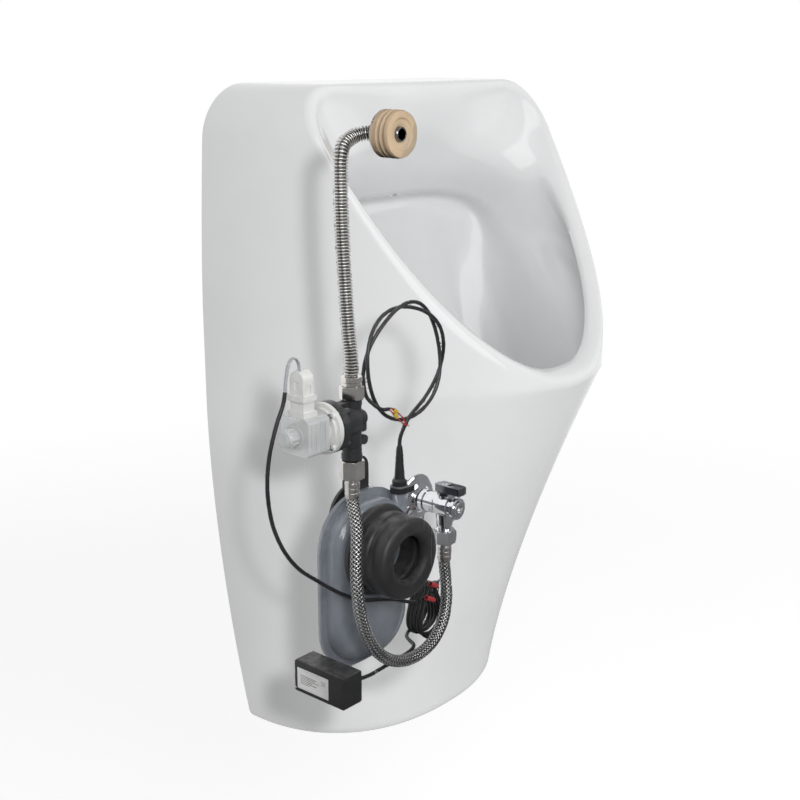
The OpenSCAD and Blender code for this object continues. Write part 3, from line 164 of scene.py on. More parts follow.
def route(points, steps):
    """A smooth curve through the points: each span is the cubic whose slope at a point is half
    the step from the point before to the point after."""
    p = np.asarray(points, float)
    a, b = np.vstack([p[:1], p[:-2]]), p[:-1]
    c, d = p[1:], np.vstack([p[2:], p[-1:]])
    u = (np.arange(steps) / steps)[None, :, None]
    a, b, c, d = (q[:, None, :] for q in (a, b, c, d))
    spans = 0.5 * (2 * b + (c - a) * u + (2 * a - 5 * b + 4 * c - d) * u**2
                   + (3 * b - a - 3 * c + d) * u**3)
    return np.vstack([spans.reshape(-1, 3), p[-1:]])


def run_length(path):
    """Distance along a path at each of its points."""
    return np.concatenate([[0], np.cumsum(np.linalg.norm(np.diff(path, axis=0), axis=1))])


def even(path, count):
    """count points at equal distances along a path."""
    s = run_length(path)
    return np.stack([np.interp(np.linspace(0, s[-1], count), s, path[:, k]) for k in range(3)], 1)


def frames(path, first):
    """Tangent, side and up vectors along a path. Each side vector is the one before it with its
    part along the new tangent taken off, so the frame turns as little as it can."""
    t = np.gradient(path, axis=0)
    t /= np.linalg.norm(t, axis=1, keepdims=True)
    side = np.empty_like(t)
    n = np.asarray(first, float)
    for k in range(len(t)):
        n = n - n.dot(t[k]) * t[k]
        n /= np.linalg.norm(n)
        side[k] = n
    return t, side, np.cross(t, side)


def tube_grid(path, radii, sides, first=(0, 1, 0)):
    """Circles across a path: point = centre + radius * (cos a * side + sin a * up)."""
    _, side, up = frames(path, first)
    a = np.arange(sides) * 2 * np.pi / sides
    radii = np.broadcast_to(np.asarray(radii, float), len(path))[:, None, None]
    return path[:, None] + radii * (np.cos(a)[None, :, None] * side[:, None]
                                    + np.sin(a)[None, :, None] * up[:, None])


# %% [markdown]
# ## Cords
# The cables and hoses come before all the rest, because their routes decide how much room the
# model needs. Each route repeats the points of the part's source: straight out of its exit, down
# under its own weight, and round what stands in its way. The sensor cable is stored in two turns
# of one loop, and the control box cable in a tied hank.

# %% Routes of the cables
LEAD = 4.0           # diameter of the sheathed cables
WIRE = 1.5           # diameter of a single conductor
COIL_WIRE = 1.6
LOOP_RADIUS = 58.0
LOOP_MIDDLE = (52, 27, 325)          # x, out, z
STRAND_SWING = 3                     # how far the loop's two turns swing round each other
HANK_TIE = (84, 40, 76)              # where the hank hangs from its tie
HANK_DROP = 56
HANK_STEP = 4.6                      # from one turn of the hank to the next
RELIEF_TOP = 197 + 0.3 + 42          # top of the trap, gap, length of the strain relief


def path_of(rows, steps):
    """A smooth path through rows of (x, out, z)."""
    return route([at(*row) for row in rows], steps)


def loop_point(angle):
    """The sensor cable's loop: a circle whose strand swings in and out of it 2.5 times as fast as
    the loop turns, so that the two turns pass round each other."""
    a = np.radians(angle)
    x, out, z = LOOP_MIDDLE
    r = LOOP_RADIUS + STRAND_SWING * np.cos(2.5 * a)
    return (x + r * np.cos(a), out + STRAND_SWING * np.sin(2.5 * a), z + r * np.sin(a))


def hank_point(turn):
    """The hank: long loops that hang from the tie, each a step nearer the wall than the one
    before. They are narrow at the tie and wide below it, and no two drop equally far."""
    a = 2 * np.pi * turn
    x, out, z = HANK_TIE
    drop = HANK_DROP + 2.4 * np.sin(np.radians(110 * turn))
    return (x + 24 * np.sin(a) * (0.6 - 0.4 * np.cos(a)), out - HANK_STEP * turn,
            z - drop * (1 - np.cos(a)) / 2)


sensor_path = path_of(
    [(44, 27, RELIEF_TOP - 6), (44, 27, RELIEF_TOP + 3), (45, 28, 250), (49, 30, 260),
     (57, 30, 268.5)]
    + [loop_point(a) for a in np.arange(-70, 571, 12)]
    + [(6, 32, 288), (12, 33.5, 285), (20, 33.5, 284)], 5)
box_path = path_of(
    [hank_point(t) for t in np.linspace(-0.1, 5.5, 150)]
    + [(73, 14.5, 19.5), (66, 18, 17.2), (62, 26, 16.2), (57, 36, 16), (42, 42, 16), (20, 44, 16),
       (-4, 46, 16.5), (-24, 49, 18), (-38, 52, 21), (-48, 53.8, 23.7), (-55, 54, 24),
       (-61, 54, 24)], 3)
lead_path = path_of(
    [(-121, 34, 329.5), (-124, 34, 318), (-132, 33, 300), (-140, 32, 275), (-143, 31, 250),
     (-141, 30, 225), (-135, 30, 200), (-124, 32, 175), (-108, 34, 154), (-88, 37, 137),
     (-66, 39, 120), (-46, 39, 107), (-24, 40, 96), (-2, 41, 90), (20, 43, 83), (36, 46, 76),
     (47, 47, 72)], 6)
coil_wire_paths = [path_of(
    [(-102.6, y, 338), (-102.6, y, 349), (-105, y, 356), (-110, y, 359), (-115, y, 356),
     (-118, y, 348), (-120, y, 339), (-121, y, 330)], 6) for y in (32.8, 35.2)]
sensor_wire_paths = [path_of(rows, 6) for rows in (
    [(20.6, 33.5, 285), (28, 33, 282), (36, 32.5, 276), (43, 33, 269), (47, 33, 262)],
    [(20.6, 33.5, 283), (27, 34, 278), (34, 34, 271), (42, 34, 264), (50, 34, 260)])]
splice_paths = [path_of(rows, 6) for rows in (
    [(48.2, 47, 73.2), (52, 50, 76), (56, 52, 76), (74, 50, 66), (77, 46, 63.5),
     (78.4, 42.6, 65.8), (79.1, 40.9, 69.6)],
    [(48.2, 47.2, 70.9), (51, 52, 84), (58, 56, 92), (76, 52, 82), (81.5, 49, 76), (83, 45.5, 69),
     (82.2, 42, 66.6), (81.1, 40.2, 69.6)])]
hose_path = path_of(
    [(-34, 34, 218.9), (-34, 34, 209), (-34, 34, 202), (-35, 37, 193), (-41, 46, 178),
     (-50, 54, 160), (-55, 58, 138), (-55, 60, 114), (-50, 60, 90), (-41, 60, 68), (-28, 60, 48),
     (-9, 61, 32), (14, 61, 23), (38, 61, 22), (62, 59, 28), (82, 55, 42), (95, 49, 60),
     (101, 43, 80), (102, 40, 96), (102, 40, 103), (102, 40, 113.9)], 8)
for name, path in (("sensor cable", sensor_path), ("box cable", box_path),
                   ("solenoid lead", lead_path), ("braided hose", hose_path)):
    print(name, round(run_length(path)[-1], 3), "m")


# %% Sheathed cables and bare wires
def add_uv(obj, rows, columns):
    """A UV map for a tube: u runs once round it and v is the distance along it in metres."""
    layer = obj.data.uv_layers.new(name="along")
    loops = np.empty(len(obj.data.loops), int)
    obj.data.loops.foreach_get("vertex_index", loops)
    row, column = loops // columns, loops % columns
    uv = np.stack([column / columns, rows[np.minimum(row, len(rows) - 1)]], 1)
    layer.data.foreach_set("uv", uv.ravel().astype(np.float32))


def cable(name, path, diameter, node, sides=16):
    """A cable is a tube along its path. It takes the place, body and slot of its CAD node."""
    grid = tube_grid(path, diameter / 2000, sides)
    obj = closed_grid(name, grid)
    add_uv(obj, run_length(path), sides)
    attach(obj, body_of_node[node])
    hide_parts(node)
    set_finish(obj, slot_of_node[node])
    return obj


cables = [
    cable("sensor_cable_loop", sensor_path, LEAD, "sensor_cable"),
    cable("box_cable_hank", box_path, LEAD, "box_cable", sides=12),
    cable("solenoid_lead_sheath", lead_path, LEAD, "solenoid_lead"),
]
wires = [
    cable(f"{name}_{k + 1}", path, size, node, sides=12)
    for name, paths, size, node, end in (
        ("coil_wire", coil_wire_paths, COIL_WIRE, "coil_wires", "object"),
        ("sensor_wire", sensor_wire_paths, WIRE, "sensor_wires", "bare"),
        ("splice_wire", splice_paths, WIRE, "splice_wires", "object"))
    for k, path in enumerate(paths)
]
print("cables and wires", len(cables) + len(wires))

# %% [markdown]
# ## Braided hose
# The hose is a rubber tube in a woven steel sleeve. A bump map would look flat at its outline,
# so the sleeve is real: flat bands of wire run round the tube in two directions, and each band
# passes over one crossing and beneath the next. A band is a flat lozenge in section, carried along
# a helix whose distance from the centre rises and falls as it weaves. A number on each point makes
# the rubber tube dark, as it is in itself and in the sleeve's shade, and paints shade on the bands'
# edges and where a band dips beneath another.

# %% Braided hose
HOSE = 13.0          # outside diameter of the sleeve
BANDS = 8            # bands in each direction
BAND_WIDTH = 2.7
HOSE_TURN = 34.0     # length of hose in which a band goes round once
BAND_STEPS = 700     # rings along a band, about seven to each swing over and under
WEAVE = 0.22         # how far a band swings out and in
BAND_SINK = 0.5      # from the outside of the sleeve in to the middle of its weave
TUBE_SINK = 0.85     # and in to the rubber tube
BAND_SECTION = np.array([(-1, 0), (0, 0.8), (1, 0), (0, -0.6)])   # across, outwards
TUBE_RINGS, TUBE_SIDES = 160, 20


def add_attribute(obj, name, values):
    """A number for each point of a mesh, for its material to read."""
    layer = obj.data.attributes.new(name, "FLOAT", "POINT")
    layer.data.foreach_set("value", np.asarray(values, np.float32).ravel())


def band_grid(path, side, up, start, turn_sign):
    """One band: at distance s its angle is start + 2 pi s / turn, its height swings by a cosine
    with two crossings a period, over one and beneath the next, and its section is a flat lozenge.
    Also gives the painted shade at each point: 0 on top where the band swings out, 0.5 where it
    swings in, 0.9 at its edges and 1 on its inner side."""
    s = run_length(path) * 1000
    angle = start + turn_sign * 2 * np.pi * s / HOSE_TURN
    swing = turn_sign * np.cos(BANDS * 2 * np.pi * s / HOSE_TURN)
    height = (HOSE / 2 - BAND_SINK + WEAVE * swing) / 1000
    out = np.cos(angle)[:, None] * side + np.sin(angle)[:, None] * up
    centre = path + height[:, None] * out
    along = np.gradient(centre, axis=0)
    along /= np.linalg.norm(along, axis=1, keepdims=True)
    across = np.cross(along, out)
    section = BAND_SECTION * [BAND_WIDTH / 2000, WEAVE / 1000]
    grid = (centre[:, None] + section[None, :, :1] * across[:, None]
            + section[None, :, 1:] * out[:, None])
    flat = np.ones_like(swing)
    band_shade = np.stack([0.9 * flat, 0.25 - 0.25 * swing, 0.9 * flat, flat], 1)
    return grid, band_shade.ravel()


def braided_hose(path):
    """The rubber tube and all the bands of its sleeve, in one mesh."""
    core = tube_grid(even(path, TUBE_RINGS), (HOSE / 2 - TUBE_SINK) / 1000, TUBE_SIDES)
    count = TUBE_RINGS * TUBE_SIDES
    points, core_and_groove_shade = [core.reshape(-1, 3)], [np.ones(count)]
    faces = grid_faces(TUBE_RINGS, TUBE_SIDES) + end_faces(TUBE_RINGS, TUBE_SIDES)
    fine = even(path, BAND_STEPS)
    _, side, up = frames(fine, (0, 1, 0))
    for sign in (1, -1):
        for k in range(BANDS):
            grid, band_shade = band_grid(fine, side, up, 2 * np.pi * k / BANDS, sign)
            points.append(grid.reshape(-1, 3))
            core_and_groove_shade.append(band_shade)
            faces += grid_faces(BAND_STEPS, 4, count) + end_faces(BAND_STEPS, 4, count)
            count += BAND_STEPS * 4
    obj = mesh_object("braided_hose_sleeve", np.vstack(points), faces)
    # darkening of the rubber tube, dark in itself and in the sleeve's shade, and painted shade on
    # the bands' edges and dips
    add_attribute(obj, "dark_core_and_groove_shade", np.concatenate(core_and_groove_shade))
    point_outwards(obj)
    return obj


hose = braided_hose(hose_path)
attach(hose, "urinal")
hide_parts("braided_hose")
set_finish(hose, "braid_steel")
print("braided hose faces", len(hose.data.polygons))

# %% [markdown]
# ## Ribbed steel hose
# The upper hose is a thin steel tube formed into deep ribs, so it holds the bend it was given.
# It is one profile carried along the route: the radius rises and falls once a rib, and the power
# of the wave makes its crests rounder than its grooves. The inner wall runs back through the
# hose and meets the outer one at both ends, so the bore is open and the surface closed. A number
# on each point paints shade: 0 on a crest, 1 down in the grooves and in the bore.

# %% Ribbed hose
RIBBED = 14.4        # diameter over the ribs
RIB_PITCH = 2.9
RIB_HEIGHT = 2.0
RIB_RINGS = 10       # rings in each rib
RIB_POWER = 1.6
RIB_FADE = 2.0       # length at each end over which the ribs fade out
HOSE_WALL = 0.5
ribbed_path = path_of(
    [(0, 35.5, 553), (0, 32, 553), (-1.5, 28, 552.7), (-6, 22.5, 551.5), (-14, 19, 549),
     (-26, 20, 543), (-32, 22, 533), (-34, 23, 515), (-34, 24, 470), (-34, 27, 420), (-34, 31, 370),
     (-34, 34, 345), (-34, 34, 328.3)], 10)


def ribbed_hose(path):
    """Outer radius = middle radius + half the rib's height times a wave from -1 to 1, whose rise
    is raised to a power and which fades out at both ends."""
    sides, inner_rings = 28, 60
    total = run_length(path)[-1] * 1000
    ribs = int(total / RIB_PITCH)
    rings = ribs * RIB_RINGS + 1
    s = np.linspace(0, total, rings)
    wave = np.cos(2 * np.pi * ribs * s / total)
    wave = 1 - 2 * ((1 - wave) / 2) ** RIB_POWER
    ends = np.clip(np.minimum(s, total - s) / RIB_FADE, 0, 1)
    radii = (RIBBED / 2 - RIB_HEIGHT / 2 + RIB_HEIGHT / 2 * wave * ends) / 1000
    bore = (RIBBED / 2 - RIB_HEIGHT - HOSE_WALL) / 1000
    outer = tube_grid(even(path, rings), radii, sides, (1, 0, 0))
    inner = tube_grid(even(path, inner_rings), bore, sides, (1, 0, 0))
    obj = closed_grid("ribbed_steel_hose", np.vstack([outer, inner[::-1]]), wrap_rows=True)
    # painted shade: darker down between the ribs and in the bore
    core_and_groove_shade = np.concatenate([np.repeat((1 - wave * ends) / 2, sides), np.ones(len(inner) * sides)])
    add_attribute(obj, "dark_core_and_groove_shade", core_and_groove_shade)
    print("ribs", ribs, "faces", len(obj.data.polygons))
    return obj


ribbed = ribbed_hose(ribbed_path)
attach(ribbed, "urinal")
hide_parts("ribbed_hose")
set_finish(ribbed, "hose_steel")

# %% [markdown]
# ## The china
# The china is slip-cast, so no face of it is flat and every edge is rounded. Its skin is a family
# of rings: a ring runs right round the china where its side view is a fixed share of the rim's
# distance from the wall, 0 at the wall and 1 at the rim. A box-modelled cage would need many
# hand-placed edges for the same sweep. The rings of the bowl are ovals with a height and a
# distance from the wall of their own. The part's source builds the same rings more coarsely.

# %% Form of the china
HEIGHT, WIDTH, TOP_WIDTH, BASE_WIDTH = 600.0, 368.0, 348.0, 288.0
DEPTH, BASE_DEPTH, LIP_HEIGHT, WALL = 264.0, 130.0, 354.0, 12.0
CORNER, FOOT_EDGE, CREST_Z, CREST_OUT = 45.0, 12.0, 585.0, 98.0
ARCH, BOWL_WIDTH = 500.0, 244.0
FLARE_TOP, TAPER_FOOT = 330.0, 410.0     # heights between which the china is widest
FLARE_POWER, TAPER_POWER, FRONT_POWER = 1.7, 1.5, 1.42
RIM_LEAN, RIM_CURVE = 0.6, 0.00047
PLAN_POWER, PLAN_ROUNDER = 2.3, 0.25     # how square the plan is at the foot, and how much
                                         # rounder it is from the lip upwards
RAY_Z, RAY_RISE = 300.0, 180.0           # height of a ring's centre: RAY_Z + share * RAY_RISE


def rounded_in(over, r):
    """How far an edge of radius r has turned in, at a distance past where it starts."""
    return r - np.sqrt(r * r - np.clip(over, 0, r) ** 2)


def half_width(z):
    """Widest at mid height; narrower by a power curve to the foot and to the top, with the
    upper corners and the foot's edge rounded in."""
    return (WIDTH / 2
            - (WIDTH - BASE_WIDTH) / 2
            * (np.maximum(FLARE_TOP - z, 0) / FLARE_TOP) ** FLARE_POWER
            - (WIDTH - TOP_WIDTH) / 2
            * (np.maximum(z - TAPER_FOOT, 0) / (HEIGHT - TAPER_FOOT)) ** TAPER_POWER
            - rounded_in(z - HEIGHT + CORNER, CORNER) - rounded_in(FOOT_EDGE - z, FOOT_EDGE))


def depth(z):
    """Distance of the front from the wall: a power curve from the foot out to the lip."""
    return (BASE_DEPTH + (DEPTH - BASE_DEPTH) * np.clip(z / LIP_HEIGHT, 0, 1) ** FRONT_POWER
            - rounded_in(FOOT_EDGE - z, FOOT_EDGE))


def rim_out(z):
    """Side view of the rim: it leans back from the lip to the crest along a slight curve."""
    return CREST_OUT + RIM_LEAN * (CREST_Z - z) + RIM_CURVE * (CREST_Z - z) ** 2


def plan_share(x, out, z):
    """Below 1 inside the china's plan, 1 on its skin: a squarish oval at each height."""
    h = np.clip(z, 0, HEIGHT)
    e = PLAN_POWER - PLAN_ROUNDER * np.clip(h / LIP_HEIGHT, 0, 1)
    return (np.abs(x) / half_width(h)) ** e + (np.abs(out) / depth(h)) ** e


def inside_skin(x, out, z):
    """True inside the china's plan and between its foot and its top."""
    return (z >= 0) & (z <= HEIGHT) & (plan_share(x, out, z) < 1)


def ring_angles(t, left, right):
    """Angles round a ring. Samples crowd where the foot and the upper corners turn, and the
    left flank gets more of them, because the photograph looks through it at the fittings."""
    u = np.clip((t - 0.17) / 0.35, 0, 1)
    centre = RAY_Z + RAY_RISE * t
    back = max(1 - (t * rim_out(0.0) / BASE_DEPTH) ** PLAN_POWER, 0.02)
    foot = BASE_WIDTH / 2 * back ** (1 / PLAN_POWER)
    low = np.degrees(np.arctan2(FOOT_EDGE / 3 - centre, foot - FOOT_EDGE / 3)) * (1 - u) - 40 * u
    high = np.degrees(np.arctan2(HEIGHT - CORNER * 0.29 - centre,
                                 TOP_WIDTH / 2 - CORNER * 0.29 - 25 * t * t))

    def half(n_low, n_side, n_high):
        k = np.arange(n_low) / n_low
        a = -90 + (low + 90) * (np.sin(np.radians(90 * k)) * (1 - u) + k * u)
        f = np.arange(n_side) / n_side
        b = low + (high - low) * ((1 - np.cos(np.radians(180 * f))) / 2 * (1 - u)
                                  + np.sin(np.radians(90 * f)) * u)
        k = np.arange(n_high + 1) / n_high
        c = high + (90 - high) * (1 - np.cos(np.radians(90 * k)))
        return np.concatenate([a, b, c])

    r, l = half(*right), half(*left)
    return np.radians(np.concatenate([r, 180 - l[-2:0:-1]]))


LEFT, RIGHT = (16, 190, 20), (14, 56, 16)    # samples below, beside and above, on each side
FARTHEST, HALVINGS = 420.0, 24               # no ray is longer; halvings to find its end


def skin_ring(t, inset=0.0, push=0.0):
    """A ring of the outer skin: along each ray from its centre, the largest distance that is
    still inside the china, found by halving. inset draws it in, push lifts it off the rim."""
    a = ring_angles(t, LEFT, RIGHT)
    centre = RAY_Z + RAY_RISE * t
    lo, hi = np.zeros_like(a), np.full_like(a, FARTHEST)
    for _ in range(HALVINGS):
        mid = (lo + hi) / 2
        z = centre + mid * np.sin(a)
        ok = inside_skin(mid * np.cos(a), t * rim_out(np.clip(z, 0, HEIGHT)), z)
        lo, hi = np.where(ok, mid, lo), np.where(ok, hi, mid)
    r = lo - inset
    z = centre + r * np.sin(a)
    return np.stack([r * np.cos(a), t * rim_out(z) + push * 0.8, z + push * 0.6], 1)


B = BOWL_WIDTH / 2
# half width; heights of middle, top, bottom; distances of top, bottom; sag; powers above, below
BOWL = np.array([
    [B - 98, 320, 345, 300, 66, 80, 0, 2, 2],
    [B - 76, 322, 372, 268, 56, 94, 0, 2, 2],
    [B - 52, 330, 400, 244, 50, 112, 0, 2.1, 2],
    [B - 30, 342, 432, 230, 47, 136, -4, 2.4, 2],
    [B - 14, 372, 462, 246, 48, 172, -10, 2.7, 2],
    [B - 5, 420, ARCH - 17, 290, 50, 206, -18, 3, 2],
    [B - 1, 446, ARCH - 6, 326, 50, 228, -20, 3.2, 2],
    [B, 455, ARCH, LIP_HEIGHT - 9, 62, 242, -18, 3.2, 2],
    [B + 2, 458, ARCH + 6, LIP_HEIGHT - 4, 66, 246, -14, 3.2, 2],
    [B + 12, 470, ARCH + 50, LIP_HEIGHT - 1, 86, 253, -4, 3.2, 2]])


def bowl_ring(row):
    """An oval of the bowl: squarer above its middle than below, and slanting from its bottom,
    far from the wall, to its top, near it, with a sag between."""
    width, middle, top, bottom, out_top, out_bottom, sag, above, below = row
    a = ring_angles(1.0, LEFT, RIGHT)
    c, s = np.abs(np.cos(a)), np.sin(a)
    h = np.where(s > 0, top - middle, middle - bottom)
    e = np.where(s > 0, above, below)
    r = ((c / width) ** e + (np.abs(s) / h) ** e) ** (-1 / e)
    z = middle + r * s
    t = (z - bottom) / (top - bottom)
    out = out_bottom + (out_top - out_bottom) * t + sag * 4 * t * (1 - t)
    return np.stack([r * np.cos(a), out, z], 1)


def centre_ring(out, z, r=1.5):
    """A small ring that closes the middle of the bowl."""
    a = ring_angles(1.0, LEFT, RIGHT)
    return np.stack([r * np.cos(a), np.full_like(a, out), z + r * np.sin(a)], 1)


def loft(rings, counts):
    """A smooth surface through rings. Between two of them each point follows the cubic whose
    slopes come from the neighbouring rings, weighed by their distances. Rings past the last
    counted span only steer its slope, and the ring that ends that span isn't repeated."""
    p = np.stack(rings)
    step = np.linalg.norm(np.diff(p, axis=0), axis=2).mean(1) + 1e-9
    chord = np.diff(p, axis=0) / step[:, None, None]
    slope = np.empty_like(p)
    w = (step[:-1] / (step[:-1] + step[1:]))[:, None, None]
    slope[1:-1] = chord[:-1] * (1 - w) + chord[1:] * w
    slope[0], slope[-1] = chord[0], chord[-1]
    spans = []
    for j, n in enumerate(counts):
        u = (np.arange(n) / n)[:, None, None]
        h = step[j]
        spans.append((2 * u**3 - 3 * u**2 + 1) * p[j] + (u**3 - 2 * u**2 + u) * h * slope[j]
                     + (3 * u**2 - 2 * u**3) * p[j + 1] + (u**3 - u**2) * h * slope[j + 1])
    return np.vstack(spans)


def finer(steps, k):
    """k steps for each one of a list of numbers, its last number left out."""
    return np.interp(np.arange((len(steps) - 1) * k) / k, np.arange(len(steps)), steps)


# %% [markdown]
# The skin starts as a small ring in the middle of the bowl, rolls over the rim, runs down the
# outside to the wall, turns in across the back edge and comes back inside to the bowl's rear.
# Casting makes the walls about 12 mm thick: the inner skin of the flanks is the outer one drawn
# in, and the bowl's rear is the bowl itself moved along its normals. The socket of the inlet, the
# waste well, its spigot and the two ribs that hang on the hooks are joined on with exact
# booleans, and the bores cut.

# %% China shell
OUTER_STEPS = [0.99, 0.96, 0.9, 0.8, 0.68, 0.56, 0.46, 0.38, 0.31, 0.26, 0.23, 0.212,
               0.2, 0.19, 0.17, 0.14, 0.09, 0.04, 0.0]
INNER_STEPS = [0.03, 0.1, 0.2, 0.3, 0.4, 0.5, 0.6]
BACK_EDGE = WALL + 2           # width of the flat edge on the wall
BOWL_WALL = WALL - 1
BOWL_MIDDLE = (73.0, 321.0)    # distance from the wall and height of the bowl's middle
BOWL_INSIDE = (0.0, 150.0, 400.0)
FRONT_COUNTS = [3, 3, 4, 4, 5, 5, 4, 4, 3, 3, 5, 3, 3, 3]   # rows from each ring to the next
REAR_ROWS = sum(FRONT_COUNTS[:6])                # the rows of the bowl that have a rear


def moved_outwards(grid, wall):
    """The grid moved by the wall's thickness along its normals, away from the bowl's inside. A
    normal is the cross product of the steps to the neighbouring rows and columns."""
    normal = np.cross(np.gradient(grid, axis=0), np.roll(grid, -1, 1) - np.roll(grid, 1, 1))
    normal /= np.linalg.norm(normal, axis=2, keepdims=True)
    return grid + wall * np.sign(np.sum(normal * (grid - BOWL_INSIDE))) * normal


def china_shell():
    """All the rings of the shell in one grid of (x, out, z), turned into metres at the end."""
    rings = ([centre_ring(*BOWL_MIDDLE)] + [bowl_ring(row) for row in BOWL]
             + [skin_ring(1.0, 15, -3), skin_ring(1.0, 9, 2), skin_ring(1.0, 4, 3),
                skin_ring(0.99), skin_ring(0.96)])
    front = loft(rings, FRONT_COUNTS)
    back = moved_outwards(front, BOWL_WALL)[REAR_ROWS::-1]
    rows = [front]
    rows += [skin_ring(t)[None] for t in finer(OUTER_STEPS, 5)]
    rows += [skin_ring(0.0)[None], skin_ring(0.0, 1.5)[None], skin_ring(0.0, BACK_EDGE)[None]]
    rows += [skin_ring(t, WALL)[None] for t in finer(INNER_STEPS, 3)]
    rows += [loft([skin_ring(INNER_STEPS[-1], WALL), back[0]], [4]), back]
    grid = np.vstack(rows)
    return np.stack([grid[..., 0], -grid[..., 1], grid[..., 2] - FIX_HEIGHT], -1) / 1000


def rod(start, end, radius, sides=96):
    """A closed cylinder between two points given as (x, out, z)."""
    path = np.array([at(*start), at(*end)])
    axis = path[1] - path[0]
    return closed_grid("tool", tube_grid(path, radius / 1000, sides, np.roll(axis, 1) + 1e-3))


def block(low, high):
    """A closed box between two corners given as (x, out, z)."""
    (x0, o0, z0), (x1, o1, z1) = low, high
    ring = [[at(x, o, z) for x, z in ((x0, z0), (x1, z0), (x1, z1), (x0, z1))] for o in (o0, o1)]
    return closed_grid("tool", np.array(ring))


def cut_or_join(obj, tools, operation):
    """Applies booleans with closed tools one after another, then removes the tools."""
    for tool in tools:
        modifier = obj.modifiers.new("boolean", "BOOLEAN")
        modifier.operation, modifier.solver, modifier.object = operation, "MANIFOLD", tool
        depsgraph = bpy.context.evaluated_depsgraph_get()
        made = bpy.data.meshes.new_from_object(obj.evaluated_get(depsgraph))
        obj.modifiers.clear()
        obj.data = made
        bpy.data.objects.remove(tool)


china = closed_grid("china_bowl", china_shell())
SOCKET_Z, SOCKET_R, SOCKET_WALL = 553, 22.15, 8
WELL_OUT, WELL_R, WELL_WALL = 118, 23, 8
CUFF_Z, SPIGOT_R, SPIGOT_BORE = 143, 22.5, 16.5
RIB_IN, RIB_END, RIB_BACK, RIB_FRONT, RIB_LOW, RIB_HIGH = 89, 170.1, 4.75, 12.25, 549, 563
WATERWAY_OUT, WATERWAY_R = 56, 4.5
CHINA_SHARP = 60.0             # degrees from which an edge of the china is sharp
cut_or_join(china, [
    rod((0, 52, SOCKET_Z), (0, 70, SOCKET_Z), SOCKET_R + SOCKET_WALL),
    rod((0, WELL_OUT, 112), (0, WELL_OUT, 228), WELL_R + WELL_WALL),
    rod((0, 60, CUFF_Z), (0, WELL_OUT, CUFF_Z), SPIGOT_R),
    block((RIB_IN, RIB_BACK, RIB_LOW), (RIB_END, RIB_FRONT, RIB_HIGH)),
    block((-RIB_END, RIB_BACK, RIB_LOW), (-RIB_IN, RIB_FRONT, RIB_HIGH))], "UNION")
cut_or_join(china, [
    rod((0, 47, SOCKET_Z), (0, 69, SOCKET_Z), SOCKET_R),
    rod((0, WATERWAY_OUT, 488), (0, WATERWAY_OUT, 537), WATERWAY_R, 32),
    rod((0, WELL_OUT, 120), (0, WELL_OUT, 250), WELL_R),
    rod((0, 59, CUFF_Z), (0, WELL_OUT, CUFF_Z), SPIGOT_BORE)], "DIFFERENCE")
china.data.shade_smooth()
china.data.set_sharp_from_angle(angle=math.radians(CHINA_SHARP))
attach(china, "urinal")
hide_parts("ceramic_body")
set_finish(china, "ceramic")
print("china faces", len(china.data.polygons), "vertices", len(china.data.vertices))

# %% [markdown]
# ## Hard pieces
# The moulded and turned pieces already have their true shape in the CAD model. A real edge is
# never razor sharp, though, and a knife edge catches no light. Each solid is copied, its shared
# corners are merged, flat facets are joined, and its edges get a small bevel whose width suits
# the piece: fine on machined metal, softer on mouldings and rubber. The armature's spring, which
# stands on the closed end of its tube, gets a mesh of its own.

# %% Bevelled hard pieces
BEVELS = {     # bevel width in millimetres, by node; 0 leaves the edges as they are
    "hanger_hooks": 0.6, "hanger_screws": 0.35, "inlet_seal": 0.5, "inlet_spud": 0.2,
    "ribbed_hose_collar": 0.5, "upper_nut": 0.35, "upper_washer": 0.15, "valve_body": 0.45,
    "diaphragm": 0.2, "diaphragm_cover": 0.5, "cover_screws": 0.15, "solenoid_tube": 0.2,
    "coil_winding": 0.0, "coil_housing": 0.5, "coil_knob": 0.3, "armature": 0.2,
    "armature_spring": 0.0, "terminal_housing": 0.5, "lower_washer": 0.15, "lower_nut": 0.35,
    "upper_ferrule": 0.2, "lower_ferrule": 0.2, "angle_nut": 0.35, "angle_valve_body": 0.5,
    "wall_rose": 0.4, "angle_end_cap": 0.4, "valve_spindle": 0.15, "valve_lever": 0.8,
    "lever_screw": 0.15, "trap_back": 0.0, "trap_front": 0.0, "trap_cuff": 0.5,
    "outlet_seal": 0.6, "probe_holder": 0.4, "probe_tip": 0.2, "probe_relief": 0.3,
    "wire_sleeves": 0.25, "hank_tie": 0.3, "splice_connectors": 0.3, "box_case": 0.5,
    "box_lid": 0.5, "box_circuit": 0.15, "box_label": 0.0, "box_gland": 0.4,
}
MERGE = 2e-6         # metres between corners that are one
FLAT = 0.6           # degrees between facets that are one flat face
SHARP = 34.0         # degrees from which an edge is sharp and gets a bevel


def dress(node, width):
    """A copy of a CAD solid with merged corners, joined flat facets and bevelled edges."""
    obj = bpy.data.objects.new(node + "_finished", frame["nodes"][node].data.copy())
    bpy.context.scene.collection.objects.link(obj)
    mesh = bmesh.new()
    mesh.from_mesh(obj.data)
    bmesh.ops.remove_doubles(mesh, verts=mesh.verts[:], dist=MERGE)
    bmesh.ops.dissolve_limit(mesh, angle_limit=math.radians(FLAT), verts=mesh.verts[:],
                             edges=mesh.edges[:])
    mesh.to_mesh(obj.data)
    mesh.free()
    obj.data.shade_smooth()
    obj.data.set_sharp_from_angle(angle=math.radians(SHARP))
    if width:
        bevel = obj.modifiers.new("edges", "BEVEL")
        bevel.width, bevel.segments = width / 1000, 2
        bevel.limit_method, bevel.angle_limit = "ANGLE", math.radians(SHARP)
        bevel.harden_normals = True
    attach(obj, body_of_node[node])
    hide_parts(node)
    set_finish(obj, slot_of_node[node])
    return obj


